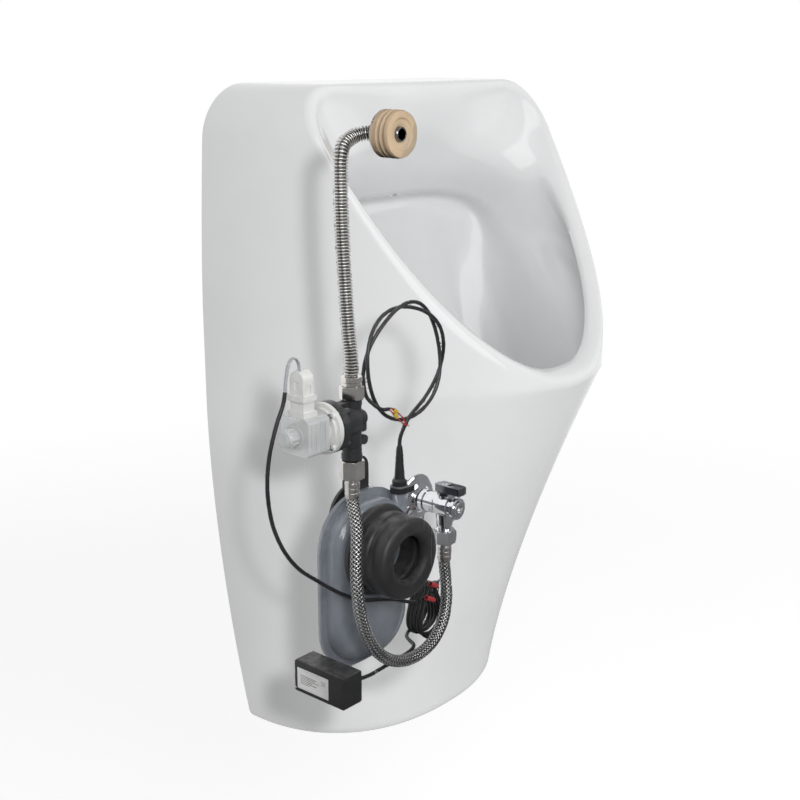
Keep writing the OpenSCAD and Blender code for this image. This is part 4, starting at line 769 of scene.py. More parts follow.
dressed = {node: dress(node, width) for node, width in BEVELS.items()}
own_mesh(dressed["armature_spring"])
MADE_ANEW = {"ceramic_body", "ribbed_hose", "braided_hose", "sensor_cable", "box_cable",
             "solenoid_lead", "coil_wires", "sensor_wires", "splice_wires"}
print("dressed", len(dressed), "pieces; CAD nodes left",
      sorted(set(frame["nodes"]) - set(dressed) - MADE_ANEW))


# %% [markdown]
# ## Materials
# Every finish is built from nodes on Object coordinates, in metres, so its grain has a real size.
# Effects that many finishes share are node groups: `fine_wear` gives slow and fine variation for
# colour and roughness, `grain_bump` gives a fine relief, and `dust` gives a mask that is stronger
# on upward faces. The groups hand out values, colours and normals only; each material keeps its
# own shader, so its constants stay readable on the shader's sockets.

# %% Node helpers and groups
def node_in(tree, kind, **values):
    """A new node with its settings, and its inputs by name (spaces written as underscores)."""
    node = tree.nodes.new(kind)
    for key, value in values.items():
        if hasattr(node, key):
            setattr(node, key, value)
        else:
            node.inputs[key.replace("_", " ")].default_value = value
    return node


def group_tree(name, inputs, outputs):
    """An empty node group with float inputs (with their defaults) and typed outputs."""
    tree = bpy.data.node_groups.new(name, "ShaderNodeTree")
    for label, value in inputs.items():
        tree.interface.new_socket(label, in_out="INPUT", socket_type="NodeSocketFloat"
                                  ).default_value = value
    for label, kind in outputs.items():
        tree.interface.new_socket(label, in_out="OUTPUT", socket_type=kind)
    return tree, tree.nodes.new("NodeGroupInput"), tree.nodes.new("NodeGroupOutput")


def object_coordinates(tree, scale=(1, 1, 1)):
    """Object coordinates, stretched by a scale."""
    place = tree.nodes.new("ShaderNodeTexCoord")
    mapping = tree.nodes.new("ShaderNodeMapping")
    mapping.inputs["Scale"].default_value = scale
    tree.links.new(place.outputs["Object"], mapping.inputs["Vector"])
    return mapping.outputs["Vector"]


def noise(tree, vector, scale, detail=3.0, rough=0.55):
    """A noise texture, 0 to 1. scale is a number or a socket."""
    n = node_in(tree, "ShaderNodeTexNoise", Detail=detail, Roughness=rough)
    tree.links.new(vector, n.inputs["Vector"])
    feed(tree, scale, n.inputs["Scale"])
    return n.outputs["Fac"]


def feed(tree, value, socket):
    """Links a socket, or sets a constant."""
    if isinstance(value, bpy.types.NodeSocket):
        tree.links.new(value, socket)
    else:
        socket.default_value = value


def calc(tree, operation, a, b=0.0):
    """A Math node."""
    m = node_in(tree, "ShaderNodeMath", operation=operation)
    feed(tree, a, m.inputs[0])
    feed(tree, b, m.inputs[1])
    return m.outputs[0]


def span(tree, value, low, high, new_low=0.0, new_high=1.0, smooth=True):
    """Maps low..high of a value onto new_low..new_high, clamped."""
    m = tree.nodes.new("ShaderNodeMapRange")
    m.interpolation_type = "SMOOTHSTEP" if smooth else "LINEAR"
    for socket, number in zip(m.inputs[1:5], (low, high, new_low, new_high)):
        feed(tree, number, socket)
    tree.links.new(value, m.inputs[0])
    return m.outputs[0]


def blend_colours(tree, factor, a, b, kind="MIX"):
    """A colour mix of a and b, which are sockets or colours."""
    m = tree.nodes.new("ShaderNodeMix")
    m.data_type, m.blend_type = "RGBA", kind
    feed(tree, factor, m.inputs[0])
    for value, socket in ((a, m.inputs[6]), (b, m.inputs[7])):
        feed(tree, value if isinstance(value, bpy.types.NodeSocket) else (*value, 1.0), socket)
    return m.outputs[2]


def make_fine_wear():
    """Slow variation (a few centimetres) and fine variation (a few tenths of a millimetre)."""
    tree, start, end = group_tree(
        "fine_wear", {"Slow scale": 28.0, "Fine scale": 1600.0},
        {"Slow": "NodeSocketFloat", "Fine": "NodeSocketFloat", "Scratches": "NodeSocketFloat"})
    where = object_coordinates(tree)
    tree.links.new(noise(tree, where, start.outputs["Slow scale"]), end.inputs["Slow"])
    tree.links.new(noise(tree, where, start.outputs["Fine scale"], 2.0), end.inputs["Fine"])
    lines = noise(tree, object_coordinates(tree, (60, 60, 1500)), 1.0, 2.0)
    tree.links.new(span(tree, lines, 0.55, 0.75), end.inputs["Scratches"])
    return tree


def make_grain_bump():
    """A normal from two sizes of noise, for orange peel, moulded texture and rubber."""
    tree, start, end = group_tree("grain_bump", {"Scale": 900.0, "Strength": 0.1, "Depth": 0.0002},
                                  {"Normal": "NodeSocketVector"})
    where = object_coordinates(tree)
    coarse = noise(tree, where, start.outputs["Scale"], 2.0)
    fine = noise(tree, where, calc(tree, "MULTIPLY", start.outputs["Scale"], 3.7), 2.0)
    bump = tree.nodes.new("ShaderNodeBump")
    tree.links.new(start.outputs["Strength"], bump.inputs["Strength"])
    tree.links.new(start.outputs["Depth"], bump.inputs["Distance"])
    tree.links.new(calc(tree, "ADD", coarse, calc(tree, "MULTIPLY", fine, 0.5)),
                   bump.inputs["Height"])
    tree.links.new(bump.outputs["Normal"], end.inputs["Normal"])
    return tree


def make_dust():
    """A mask that is 1 where fine dust settles: on upward faces, in soft patches."""
    tree, start, end = group_tree("dust", {"Amount": 0.3}, {"Mask": "NodeSocketFloat"})
    geometry = tree.nodes.new("ShaderNodeNewGeometry")
    parts = tree.nodes.new("ShaderNodeSeparateXYZ")
    tree.links.new(geometry.outputs["Normal"], parts.inputs[0])
    up = span(tree, parts.outputs["Z"], 0.2, 1.0)
    patches = span(tree, noise(tree, object_coordinates(tree), 130.0, 4.0), 0.35, 0.7)
    mask = calc(tree, "MULTIPLY", calc(tree, "MULTIPLY", up, patches), start.outputs["Amount"])
    tree.links.new(mask, end.inputs["Mask"])
    return tree


GROUPS = {"fine_wear": make_fine_wear(), "grain_bump": make_grain_bump(), "dust": make_dust()}


def use_group(tree, name, **values):
    """A node that uses one of the shared groups."""
    n = tree.nodes.new("ShaderNodeGroup")
    n.node_tree = GROUPS[name]
    for key, value in values.items():
        n.inputs[key.replace("_", " ")].default_value = value
    return n


def surface(name, colour, dark, rough, rough_swing=0.08, metallic=0.0, grain=900.0, relief=0.1,
            dust=0.0, sheen=0.0, coat=0.0, scratches=0.0, slow=28.0):
    """The common finish: the colour drifts slowly towards a second one, roughness varies finely,
    the surface has a fine relief, and dust can lie on it. Returns material, tree and shader."""
    material = bpy.data.materials.new(name)
    material.use_nodes = True
    tree = material.node_tree
    shader = tree.nodes["Principled BSDF"]
    wear = use_group(tree, "fine_wear", Slow_scale=slow)
    tone = blend_colours(tree, span(tree, wear.outputs["Slow"], 0.35, 0.68), colour, dark)
    if scratches:
        tone = blend_colours(tree, calc(tree, "MULTIPLY", wear.outputs["Scratches"], scratches),
                             tone, tuple(min(1.0, c * 1.5 + 0.05) for c in colour))
    if dust:
        mask = use_group(tree, "dust", Amount=dust)
        tone = blend_colours(tree, mask.outputs["Mask"], tone, (0.45, 0.44, 0.42))
    tree.links.new(tone, shader.inputs["Base Color"])
    tree.links.new(span(tree, wear.outputs["Fine"], 0.3, 0.7, rough - rough_swing,
                        rough + rough_swing), shader.inputs["Roughness"])
    bump = use_group(tree, "grain_bump", Scale=grain, Strength=relief)
    tree.links.new(bump.outputs["Normal"], shader.inputs["Normal"])
    shader.inputs["Metallic"].default_value = metallic
    shader.inputs["Sheen Weight"].default_value = sheen
    shader.inputs["Coat Weight"].default_value = coat
    shader.inputs["Coat Roughness"].default_value = 0.06
    return material, tree, shader


def recolour(tree, shader, factor, colour, kind="MIX"):
    """Mixes a colour over the base colour that the shader already has."""
    tone = shader.inputs["Base Color"].links[0].from_socket
    tree.links.new(blend_colours(tree, factor, tone, colour, kind), shader.inputs["Base Color"])


def darken(tree, shader, attribute, depth):
    """Multiplies the base colour by 1 - depth times an attribute of the mesh."""
    value = node_in(tree, "ShaderNodeAttribute", attribute_name=attribute)
    left = calc(tree, "SUBTRACT", 1.0, calc(tree, "MULTIPLY", value.outputs["Fac"], depth))
    recolour(tree, shader, 1.0, left, "MULTIPLY")


def height_bump(tree, shader, height, distance, strength=1.0):
    """Adds a height to the relief that the shader already has. distance is in metres."""
    bump = node_in(tree, "ShaderNodeBump", Distance=distance, Strength=strength)
    tree.links.new(height, bump.inputs["Height"])
    tree.links.new(shader.inputs["Normal"].links[0].from_socket, bump.inputs["Normal"])
    tree.links.new(bump.outputs["Normal"], shader.inputs["Normal"])


# %% [markdown]
# ### Metals
# Stainless steel is a little rough and slightly warm, nickel brighter and smoother, and chrome
# nearly a mirror with a cool tint. Their roughness varies finely, which breaks up reflections.

# %% Metals
MATERIALS = {}
METALS = {      # slot: colour, second colour, roughness, swing, relief, scratches
    "hook_steel": ((0.56, 0.57, 0.58), (0.44, 0.45, 0.47), 0.36, 0.08, 0.10, 0.25),
    "hose_steel": ((0.74, 0.73, 0.71), (0.62, 0.61, 0.59), 0.20, 0.06, 0.05, 0.10),
    "spud_metal": ((0.30, 0.31, 0.33), (0.20, 0.21, 0.22), 0.16, 0.05, 0.04, 0.15),
    "nickel": ((0.74, 0.72, 0.69), (0.62, 0.60, 0.57), 0.16, 0.05, 0.04, 0.10),
    "screw_steel": ((0.68, 0.68, 0.69), (0.52, 0.52, 0.54), 0.26, 0.08, 0.06, 0.20),
    "braid_steel": ((0.84, 0.84, 0.83), (0.72, 0.72, 0.71), 0.24, 0.06, 0.03, 0.05),
    "valve_chrome": ((0.82, 0.83, 0.85), (0.74, 0.75, 0.78), 0.07, 0.03, 0.02, 0.05),
    "brass": ((0.72, 0.55, 0.26), (0.60, 0.44, 0.20), 0.22, 0.06, 0.05, 0.10),
    "lever_metal": ((0.26, 0.27, 0.29), (0.16, 0.17, 0.18), 0.16, 0.05, 0.05, 0.12),
}
# Painted shade in the hoses' grooves and the sleeve's gaps, and the braid's dark rubber tube: how
# far each darkens the base colour
CORE_AND_GROOVE_SHADE = {"hose_steel": 0.72, "braid_steel": 0.92}   # how dark grooves and gaps get
for slot, (colour, dark, rough, swing, relief, marks) in METALS.items():
    MATERIALS[slot], tree, shader = surface(slot, colour, dark, rough, swing, 1.0, 1400.0, relief,
                                            scratches=marks)
    if slot in CORE_AND_GROOVE_SHADE:
        # paints shade into the grooves and gaps, and darkens the braid's rubber tube
        darken(tree, shader, "dark_core_and_groove_shade", CORE_AND_GROOVE_SHADE[slot])
print("metals", sorted(METALS))

# %% [markdown]
# The winding is fine enamelled wire, wound tight along the coil: a wave texture across the
# coil's axis with a rounded profile gives both its relief and its darker gaps.

# %% Copper winding
material, tree, shader = surface("copper", (0.62, 0.27, 0.12), (0.45, 0.18, 0.08), 0.3,
                                 metallic=1.0)
wave = node_in(tree, "ShaderNodeTexWave", wave_type="BANDS", bands_direction="X", Scale=650.0)
tree.links.new(object_coordinates(tree), wave.inputs["Vector"])
height_bump(tree, shader, wave.outputs["Fac"], 0.0004)
MATERIALS["copper"] = material

# %% [markdown]
# ### Rubber and plastics
# Rubber is matt with a faint sheen and picks up dust; moulded plastic has a fine spark-eroded
# texture. The trap and the coil's housing are clear plastic: thin shells that let a third of the
# light by, so each has an alpha, higher where it is seen edge on, with a clear gloss over it.

# %% Rubber and plastics
PLASTICS = {    # slot: colour, second colour, roughness, swing, grain, relief, dust, sheen, coat
    "seal_rubber": ((0.57, 0.46, 0.33), (0.48, 0.38, 0.27), 0.52, 0.08, 700, 0.20, 0.10, 0.10, 0.0),
    "black_rubber": ((0.022, 0.022, 0.024), (0.034, 0.033, 0.034), 0.42, 0.08, 800, 0.16, 0.10,
                     0.06, 0.0),
    "valve_plastic": ((0.020, 0.021, 0.023), (0.032, 0.033, 0.035), 0.36, 0.08, 1500, 0.15, 0.12,
                      0.0, 0.0),
    "white_plastic": ((0.76, 0.76, 0.74), (0.70, 0.70, 0.68), 0.34, 0.06, 1500, 0.06, 0.0, 0.0,
                      0.15),
    "wire_grey": ((0.42, 0.43, 0.45), (0.36, 0.37, 0.39), 0.40, 0.06, 1500, 0.06, 0.0, 0.0, 0.0),
    "cable_black": ((0.018, 0.018, 0.020), (0.030, 0.030, 0.032), 0.34, 0.07, 1500, 0.08, 0.08,
                    0.0, 0.0),
    "probe_plastic": ((0.020, 0.020, 0.022), (0.030, 0.030, 0.032), 0.32, 0.07, 1200, 0.10, 0.08,
                      0.0, 0.0),
    "wire_red": ((0.55, 0.030, 0.035), (0.42, 0.022, 0.028), 0.36, 0.06, 1500, 0.05, 0.0, 0.0, 0.1),
    "sleeve_yellow": ((0.78, 0.55, 0.05), (0.68, 0.46, 0.04), 0.36, 0.06, 1500, 0.05, 0.0, 0.0,
                      0.1),
    "connector_red": ((0.62, 0.045, 0.050), (0.50, 0.035, 0.040), 0.28, 0.06, 1200, 0.05, 0.0,
                      0.0, 0.3),
    "box_black": ((0.020, 0.020, 0.021), (0.030, 0.030, 0.031), 0.42, 0.09, 1100, 0.30, 0.14, 0.0,
                  0.0),
}
for slot, (colour, dark, rough, swing, grain, relief, dusty, sheen, coat) in PLASTICS.items():
    MATERIALS[slot] = surface(slot, colour, dark, rough, swing, 0.0, grain, relief, dusty, sheen,
                              coat)[0]


def see_through(name, colour, dark, rough, face_on, edge_on):
    """Clear plastic: alpha goes from face_on to edge_on as the surface turns away."""
    material, tree, shader = surface(name, colour, dark, rough, 0.04, grain=500.0, relief=0.04,
                                     coat=0.6)
    facing = node_in(tree, "ShaderNodeLayerWeight", Blend=0.35)
    tree.links.new(span(tree, facing.outputs["Facing"], 0.15, 0.95, face_on, edge_on),
                   shader.inputs["Alpha"])
    return material


MATERIALS["trap_plastic"] = see_through("trap_plastic", (0.31, 0.34, 0.38), (0.25, 0.28, 0.32),
                                        0.14, 0.68, 0.98)
MATERIALS["coil_plastic"] = see_through("coil_plastic", (0.78, 0.80, 0.80), (0.70, 0.73, 0.74),
                                        0.20, 0.60, 0.96)


# %% [markdown]
# The circuit board has copper tracks under a green varnish. The thin mortar lines of a brick
# texture stand for the tracks, and a Voronoi texture gives the round pads.

# %% Circuit board
material, tree, shader = surface("circuit_green", (0.03, 0.20, 0.08), (0.02, 0.15, 0.06), 0.28,
                                 coat=0.5)
tracks = node_in(tree, "ShaderNodeTexBrick", Scale=180.0, Mortar_Size=0.06,
                 Color1=(0, 0, 0, 1), Color2=(0, 0, 0, 1), Mortar=(1, 1, 1, 1))
tree.links.new(object_coordinates(tree), tracks.inputs["Vector"])
pads = node_in(tree, "ShaderNodeTexVoronoi", Scale=320.0)
tree.links.new(object_coordinates(tree), pads.inputs["Vector"])
pad_mask = span(tree, pads.outputs["Distance"], 0.28, 0.22)
lines = calc(tree, "MAXIMUM", tracks.outputs["Fac"], pad_mask)
recolour(tree, shader, lines, (0.10, 0.38, 0.14))
height_bump(tree, shader, lines, 0.0001)
MATERIALS["circuit_green"] = material

# %% [markdown]
# The label is a matt white sticker. Its rows of print are left as plain grey bars, worked out
# from Object coordinates: no name, sign or number is on it. The mask is 1 in a bar, whose rows
# repeat down the label and whose lengths differ.

# %% Label
material, tree, shader = surface("label_white", (0.80, 0.80, 0.79), (0.74, 0.74, 0.73), 0.48,
                                 grain=2500.0, relief=0.04)
LABEL_LOW, LABEL_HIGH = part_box("box_label")
parts = tree.nodes.new("ShaderNodeSeparateXYZ")
tree.links.new(object_coordinates(tree), parts.inputs[0])
across = calc(tree, "DIVIDE", calc(tree, "SUBTRACT", parts.outputs["Y"], LABEL_LOW.y),
              LABEL_HIGH.y - LABEL_LOW.y)
down = calc(tree, "DIVIDE", calc(tree, "SUBTRACT", LABEL_HIGH.z, parts.outputs["Z"]),
            LABEL_HIGH.z - LABEL_LOW.z)


def bar(left, right, top, bottom):
    """1 inside a rectangle of the label, given in shares of its width and height."""
    sides = [span(tree, across, left, left + 0.004), span(tree, across, right, right - 0.004),
             span(tree, down, top, top + 0.008), span(tree, down, bottom, bottom - 0.008)]
    mask = sides[0]
    for side in sides[1:]:
        mask = calc(tree, "MULTIPLY", mask, side)
    return mask


print_mask = 0.0
for left, right, top, height in (
        (0.30, 0.92, 0.07, 0.012), (0.30, 0.92, 0.93, 0.012), (0.36, 0.90, 0.30, 0.030),
        (0.42, 0.90, 0.38, 0.030), (0.30, 0.90, 0.46, 0.030), (0.52, 0.90, 0.54, 0.030),
        (0.38, 0.90, 0.62, 0.030), (0.60, 0.90, 0.70, 0.030), (0.08, 0.24, 0.24, 0.030),
        (0.08, 0.20, 0.32, 0.030), (0.08, 0.24, 0.40, 0.030)):
    print_mask = calc(tree, "MAXIMUM", print_mask, bar(left, right, top, top + height))
recolour(tree, shader, print_mask, (0.03, 0.03, 0.03))
MATERIALS["label_white"] = material

# %% [markdown]
# ### Glazed china
# Vitreous china is a white body under a clear, glossy glaze. The glaze is not flat: it has a slow
# waviness from the firing and fine pinholes, and reads slightly cool. Three vertex attributes are
# made further down. `clear` is how far a point lies inside the fittings' outline as seen from the
# camera, in pixels, and its edge is a ramp less than a pixel wide. `away` is 0 where the
# photograph shows a face's front and 1 where it shows its back. Backfacing differs from it when
# the face is seen from its other side, and there the china stays whole. `shade` is the soft
# shadow beside the fittings.

# %% Glazed china
CLEAR_FROM, CLEAR_TO = -0.1, 0.6     # pixels inside the outline over which the china fades
OTHER_SIDE = 0.6     # over this, Backfacing and `away` differ; half-and-half points stay under it
SHADE_DEPTH = 0.40
material, tree, shader = surface("ceramic", (0.80, 0.805, 0.81), (0.77, 0.775, 0.78), 0.11, 0.03,
                                 grain=55.0, relief=0.05, coat=0.3, slow=9.0)
pinholes = node_in(tree, "ShaderNodeTexVoronoi", Scale=85.0)
tree.links.new(object_coordinates(tree), pinholes.inputs["Vector"])
holes = span(tree, pinholes.outputs["Distance"], 0.035, 0.0)
height_bump(tree, shader, calc(tree, "MULTIPLY", holes, -1.0), 0.0001, 0.6)
darken(tree, shader, "shade", SHADE_DEPTH)
clear_of = node_in(tree, "ShaderNodeAttribute", attribute_name="clear")
away_of = node_in(tree, "ShaderNodeAttribute", attribute_name="away")
facing = node_in(tree, "ShaderNodeNewGeometry").outputs["Backfacing"]
apart = calc(tree, "ABSOLUTE", calc(tree, "SUBTRACT", facing, away_of.outputs["Fac"]))
other_side = calc(tree, "GREATER_THAN", apart, OTHER_SIDE)
solid = span(tree, clear_of.outputs["Fac"], CLEAR_FROM, CLEAR_TO, 1.0, 0.0)
tree.links.new(calc(tree, "MAXIMUM", solid, other_side), shader.inputs["Alpha"])
MATERIALS["ceramic"] = material

# %% [markdown]
# Every piece now gets its finish.

# %% Materials onto pieces
pieces = [china, ribbed, hose] + cables + wires + list(dressed.values())
for obj in pieces:
    obj.data.materials.clear()
    obj.data.materials.append(MATERIALS[obj["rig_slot"]])
print("materials", sorted({obj.data.materials[0].name for obj in pieces}))

# %% [markdown]
# ## The clear flank
# The photograph shows the fittings as if the china in front of them were cleared away along
# their outline, with soft shadows beside them. The same is done here with arrays. Every triangle
# of the fittings is sampled and carried into the camera's picture, on a grid of thirds of a pixel
# that keeps the nearest depth. From that grid come the distance to the outline, counted positive
# inside, and a shifted and blurred copy for the shadow. Each point of the china in front of a
# fitting then reads the distance, and each on its outer skin the shadow. A real hole in the mesh
# would leave torn edges and an open shell.

# %% Picture grid of the fittings
FINE = 3                     # grid cells a pixel
CELLS = int(PICTURE) * FINE
REACH = 24                   # cells over which the distance to the outline is kept
AT_ONCE = 2_000_000          # samples worked out in one array
turn = np.array(camera.rotation_euler.to_matrix())


def in_picture(points):
    """Column and row in grid cells, and the depth in metres, of points in the row frame."""
    p = (points - EYE) @ turn
    away = -p[:, 2]
    scale = FOCAL_PX * FINE / away
    return CELLS / 2 + p[:, 0] * scale, CELLS / 2 - p[:, 1] * scale, away


def mesh_arrays(obj):
    """Vertices (n, 3) and triangles (m, 3) of a mesh."""
    mesh = obj.data
    mesh.calc_loop_triangles()
    points = np.empty(len(mesh.vertices) * 3)
    mesh.vertices.foreach_get("co", points)
    corners = np.empty(len(mesh.loop_triangles) * 3, int)
    mesh.loop_triangles.foreach_get("vertices", corners)
    return points.reshape(-1, 3), corners.reshape(-1, 3)


def nearest_depth(objects):
    """Splats triangles into the grid: each is covered by a lattice of points finer than a cell.
    What lies behind the wall's plane, y over 0, is left out: the photograph doesn't show it."""
    depth_grid = np.full(CELLS * CELLS, np.inf)
    for obj in objects:
        points, corners = mesh_arrays(obj)
        column, row, away = in_picture(points)
        flat = np.stack([column, row, away, points[:, 1]], 1)[corners]
        edges = np.abs(flat - np.roll(flat, 1, 1))[..., :2].max((1, 2))
        level = np.clip(2 ** np.ceil(np.log2(np.maximum(edges * 1.5, 1))), 1, 512).astype(int)
        for k in np.unique(level):
            i, j = np.meshgrid(np.arange(k + 1), np.arange(k + 1), indexing="ij")
            keep = i + j <= k
            w = np.stack([i[keep], j[keep], k - i[keep] - j[keep]], 1) / k
            group = flat[level == k]
            for part in np.array_split(group, max(1, len(group) * len(w) // AT_ONCE)):
                s = np.einsum("wc,tcx->twx", w, part).reshape(-1, 4)
                c, r = s[:, 0].astype(int), s[:, 1].astype(int)
                seen = (c >= 0) & (c < CELLS) & (r >= 0) & (r < CELLS) & (s[:, 3] <= 0)
                np.minimum.at(depth_grid, r[seen] * CELLS + c[seen], s[seen, 2])
    return depth_grid.reshape(CELLS, CELLS)


def shifted(grid, axis, step, fill):
    """A grid moved by some cells along an axis, with a fill value coming in."""
    out = np.full_like(grid, fill)
    to, source = [slice(None)] * 2, [slice(None)] * 2
    to[axis] = slice(max(step, 0), CELLS + min(step, 0))
    source[axis] = slice(max(-step, 0), CELLS + min(-step, 0))
    out[tuple(to)] = grid[tuple(source)]
    return out


def distance_to(mask):
    """Distance in cells to the nearest True cell, up to REACH: first along rows, then columns."""
    far = float(REACH * REACH)
    best = np.where(mask, 0.0, far)
    for axis in (1, 0):
        start = best.copy()
        for step in range(1, REACH + 1):
            for sign in (1, -1):
                best = np.minimum(best, shifted(start, axis, sign * step, far) + step * step)
    return np.sqrt(np.minimum(best, far))


def box_blur(grid, radius):
    """Mean over a square window, by running sums, along both axes."""
    for axis in (0, 1):
        pad = [(0, 0), (0, 0)]
        pad[axis] = (radius + 1, radius)
        sums = np.cumsum(np.pad(grid, pad), axis)
        high, low = [slice(None)] * 2, [slice(None)] * 2
        high[axis], low[axis] = slice(2 * radius + 1, None), slice(None, -2 * radius - 1)
        grid = (sums[tuple(high)] - sums[tuple(low)]) / (2 * radius + 1)
    return grid


WALL_SIDE = [dressed[node] for node in ("hanger_hooks", "hanger_screws")]
fittings = [obj for obj in pieces if obj is not china and obj not in WALL_SIDE]
depth_grid = nearest_depth(fittings)
covered = np.isfinite(depth_grid)
outline = np.where(covered, distance_to(~covered), -distance_to(covered)) / FINE
near_depth = depth_grid.copy()
for axis in (1, 0):
    start = near_depth.copy()
    for step in range(1, REACH + 1):
        for sign in (1, -1):
            near_depth = np.minimum(near_depth, shifted(start, axis, sign * step, np.inf))
print("covered share of the picture", round(float(covered.mean()), 4))


def read_grid(grid, column, row):
    """Bilinear reading of a grid at fractional cells."""
    c = np.clip(column - 0.5, 0, CELLS - 1.001)
    r = np.clip(row - 0.5, 0, CELLS - 1.001)
    i, j = c.astype(int), r.astype(int)
    u, v = c - i, r - j
    return ((1 - u) * (1 - v) * grid[j, i] + u * (1 - v) * grid[j, i + 1]
            + (1 - u) * v * grid[j + 1, i] + u * v * grid[j + 1, i + 1])


TOUCH = 0.0015               # china that touches a fitting counts as in front of it


def in_front(column, row, away):
    """True for points nearer than the fitting behind them, or than any within reach of them."""
    cell = (np.clip(row, 0, CELLS - 1).astype(int), np.clip(column, 0, CELLS - 1).astype(int))
    return away < np.where(covered, depth_grid, near_depth)[cell] + TOUCH


# %% [markdown]
# These numbers live on the points of the china's mesh, and between points they are only blended.
# So an edge that the outline crosses is halved, again and again, until the value in its middle is
# close to the mean of its ends'. The outline can cross an edge only where the distances from the
# two ends to the outline add up to less than its length. All other edges stay as they are, which
# keeps the china under 200,000 triangles.

# %% Finer faces along the outline
COARSEST, FINEST = 3.0, 1.3  # pixels: the longest edge left whole, and the shortest one halved
TOLERANCE = 0.4              # pixels by which the value in the middle may be off
ROUNDS = 5


def clear_at(points):
    """How far points of the china lie inside the fittings' outline, in pixels, where the china is
    in front of them, and as far outside as the grid reaches where it isn't."""
    column, row, away = in_picture(points)
    return np.where(in_front(column, row, away), read_grid(outline, column, row), -REACH / FINE)


def cut_finer(obj):
    """Halves the edges that the outline can cross and whose blended values would be wrong."""
    mesh = bmesh.new()
    mesh.from_mesh(obj.data)
    bmesh.ops.triangulate(mesh, faces=[face for face in mesh.faces if len(face.verts) > 4])
    for _ in range(ROUNDS):
        mesh.verts.index_update()
        mesh.edges.ensure_lookup_table()
        points = np.array([vert.co for vert in mesh.verts])
        ends = np.array([[vert.index for vert in edge.verts] for edge in mesh.edges])
        column, row, away = in_picture(points)
        (c0, c1), (r0, r1) = column[ends].T, row[ends].T
        length = np.hypot(c0 - c1, r0 - r1) / FINE
        crossed = np.abs(read_grid(outline, column, row))[ends].sum(1) < length
        crossed &= in_front(column, row, away)[ends].any(1)
        middle = clear_at(points[ends].mean(1))
        error = np.abs(middle - clear_at(points)[ends].mean(1))
        wrong = (length > COARSEST) | ((length > FINEST) & (error > TOLERANCE))
        chosen = crossed & wrong
        bmesh.ops.subdivide_edges(mesh, edges=[mesh.edges[k] for k in np.flatnonzero(chosen)],
                                  cuts=1, use_grid_fill=True)
        print("edges halved", int(chosen.sum()))
    mesh.to_mesh(obj.data)
    mesh.free()


cut_finer(china)
china.data.calc_loop_triangles()
print("china triangles", len(china.data.loop_triangles))

# %% [markdown]
# Each point of the china gets its three numbers: how far it is inside the outline, how deep it
# lies in the fittings' soft shadow, and whether its faces turn away from the camera. The china
# inside the cuff and round the seal is cleared as well.

# %% Clear and shade on the china
SHADOW_SHIFT = (-30, 22)     # pixels to the right, here negative, and down
SHADOW_BLUR = 7              # pixels, twice over
SHADOW_RIGHT = 60            # the shadow ends at this x
ON_SKIN = 0.965              # share of the plan from which a point is on the outer skin
CUFF_ROOM = (34, 81, 105, 182)       # largest |x| and out, lowest and highest z
SOCKET_ROOM = (23.5, 45, 72)         # radius, nearest and farthest out


def turned_away(obj, eye):
    """For each point 0 if its faces turn to the eye, 1 if they turn away, 0.5 if they differ."""
    mesh = obj.data
    normal, centre = np.empty(len(mesh.polygons) * 3), np.empty(len(mesh.polygons) * 3)
    mesh.polygons.foreach_get("normal", normal)
    mesh.polygons.foreach_get("center", centre)
    towards = np.sum(normal.reshape(-1, 3) * (eye - centre.reshape(-1, 3)), 1) > 0
    corners = np.empty(len(mesh.polygons), int)
    mesh.polygons.foreach_get("loop_total", corners)
    vertex = np.empty(len(mesh.loops), int)
    mesh.loops.foreach_get("vertex_index", vertex)
    share = np.bincount(vertex, np.repeat(towards, corners)) / np.bincount(vertex)
    return np.select([share == 1, share == 0], [0.0, 1.0], 0.5)


shadow = shifted(shifted(covered.astype(float), 1, SHADOW_SHIFT[0] * FINE, 0.0), 0,
                 SHADOW_SHIFT[1] * FINE, 0.0)
for _ in range(2):
    shadow = box_blur(shadow, SHADOW_BLUR * FINE)
points, _ = mesh_arrays(china)
column, row, _ = in_picture(points)
millimetres = points * 1000
x, out, z = millimetres[:, 0], -millimetres[:, 1], millimetres[:, 2] + FIX_HEIGHT
clear = clear_at(points)
side, front, low, high = CUFF_ROOM
in_cuff = (np.abs(x) < side) & (out < front) & (z > low) & (z < high)
radius, near, far = SOCKET_ROOM
in_socket = (np.hypot(x, z - SOCKET_Z) < radius) & (out > near) & (out < far)
clear[in_cuff | in_socket] = REACH / FINE     # china inside the cuff and around the seal
shaded = (plan_share(x, out, z) > ON_SKIN) & (x < SHADOW_RIGHT)
shade = np.where(shaded, read_grid(shadow, column, row), 0.0)
add_attribute(china, "clear", clear)
add_attribute(china, "away", turned_away(china, np.array(camera.location)))
add_attribute(china, "shade", shade)
print("cleared points", int((clear > 0).sum()), "shaded", int((shade > 0.05).sum()))

# %% [markdown]
# ## Floor, lamps and surroundings
# The object hangs on a wall that isn't shown. A plain pale floor lies some way under it and keeps
# its soft shadow; by its distance from the middle it fades into the white surroundings, so no
# horizon shows. The china and the floor have a large soft key lamp in front, a weak fill from the
# right and a weaker one from above. The china would keep their light off the fittings inside it,
# so the fittings have a key and two side lamps of their own, linked to them alone, as a
# retoucher lights a cut-out.

# %% Floor
FLOOR_Z = -0.873
FLOOR_SIZE = 14.0
FLOOR_FADE = (0.9, 2.2)      # metres from the middle
FLOOR_POINTS = 49            # along each side
GLOW = 0.45


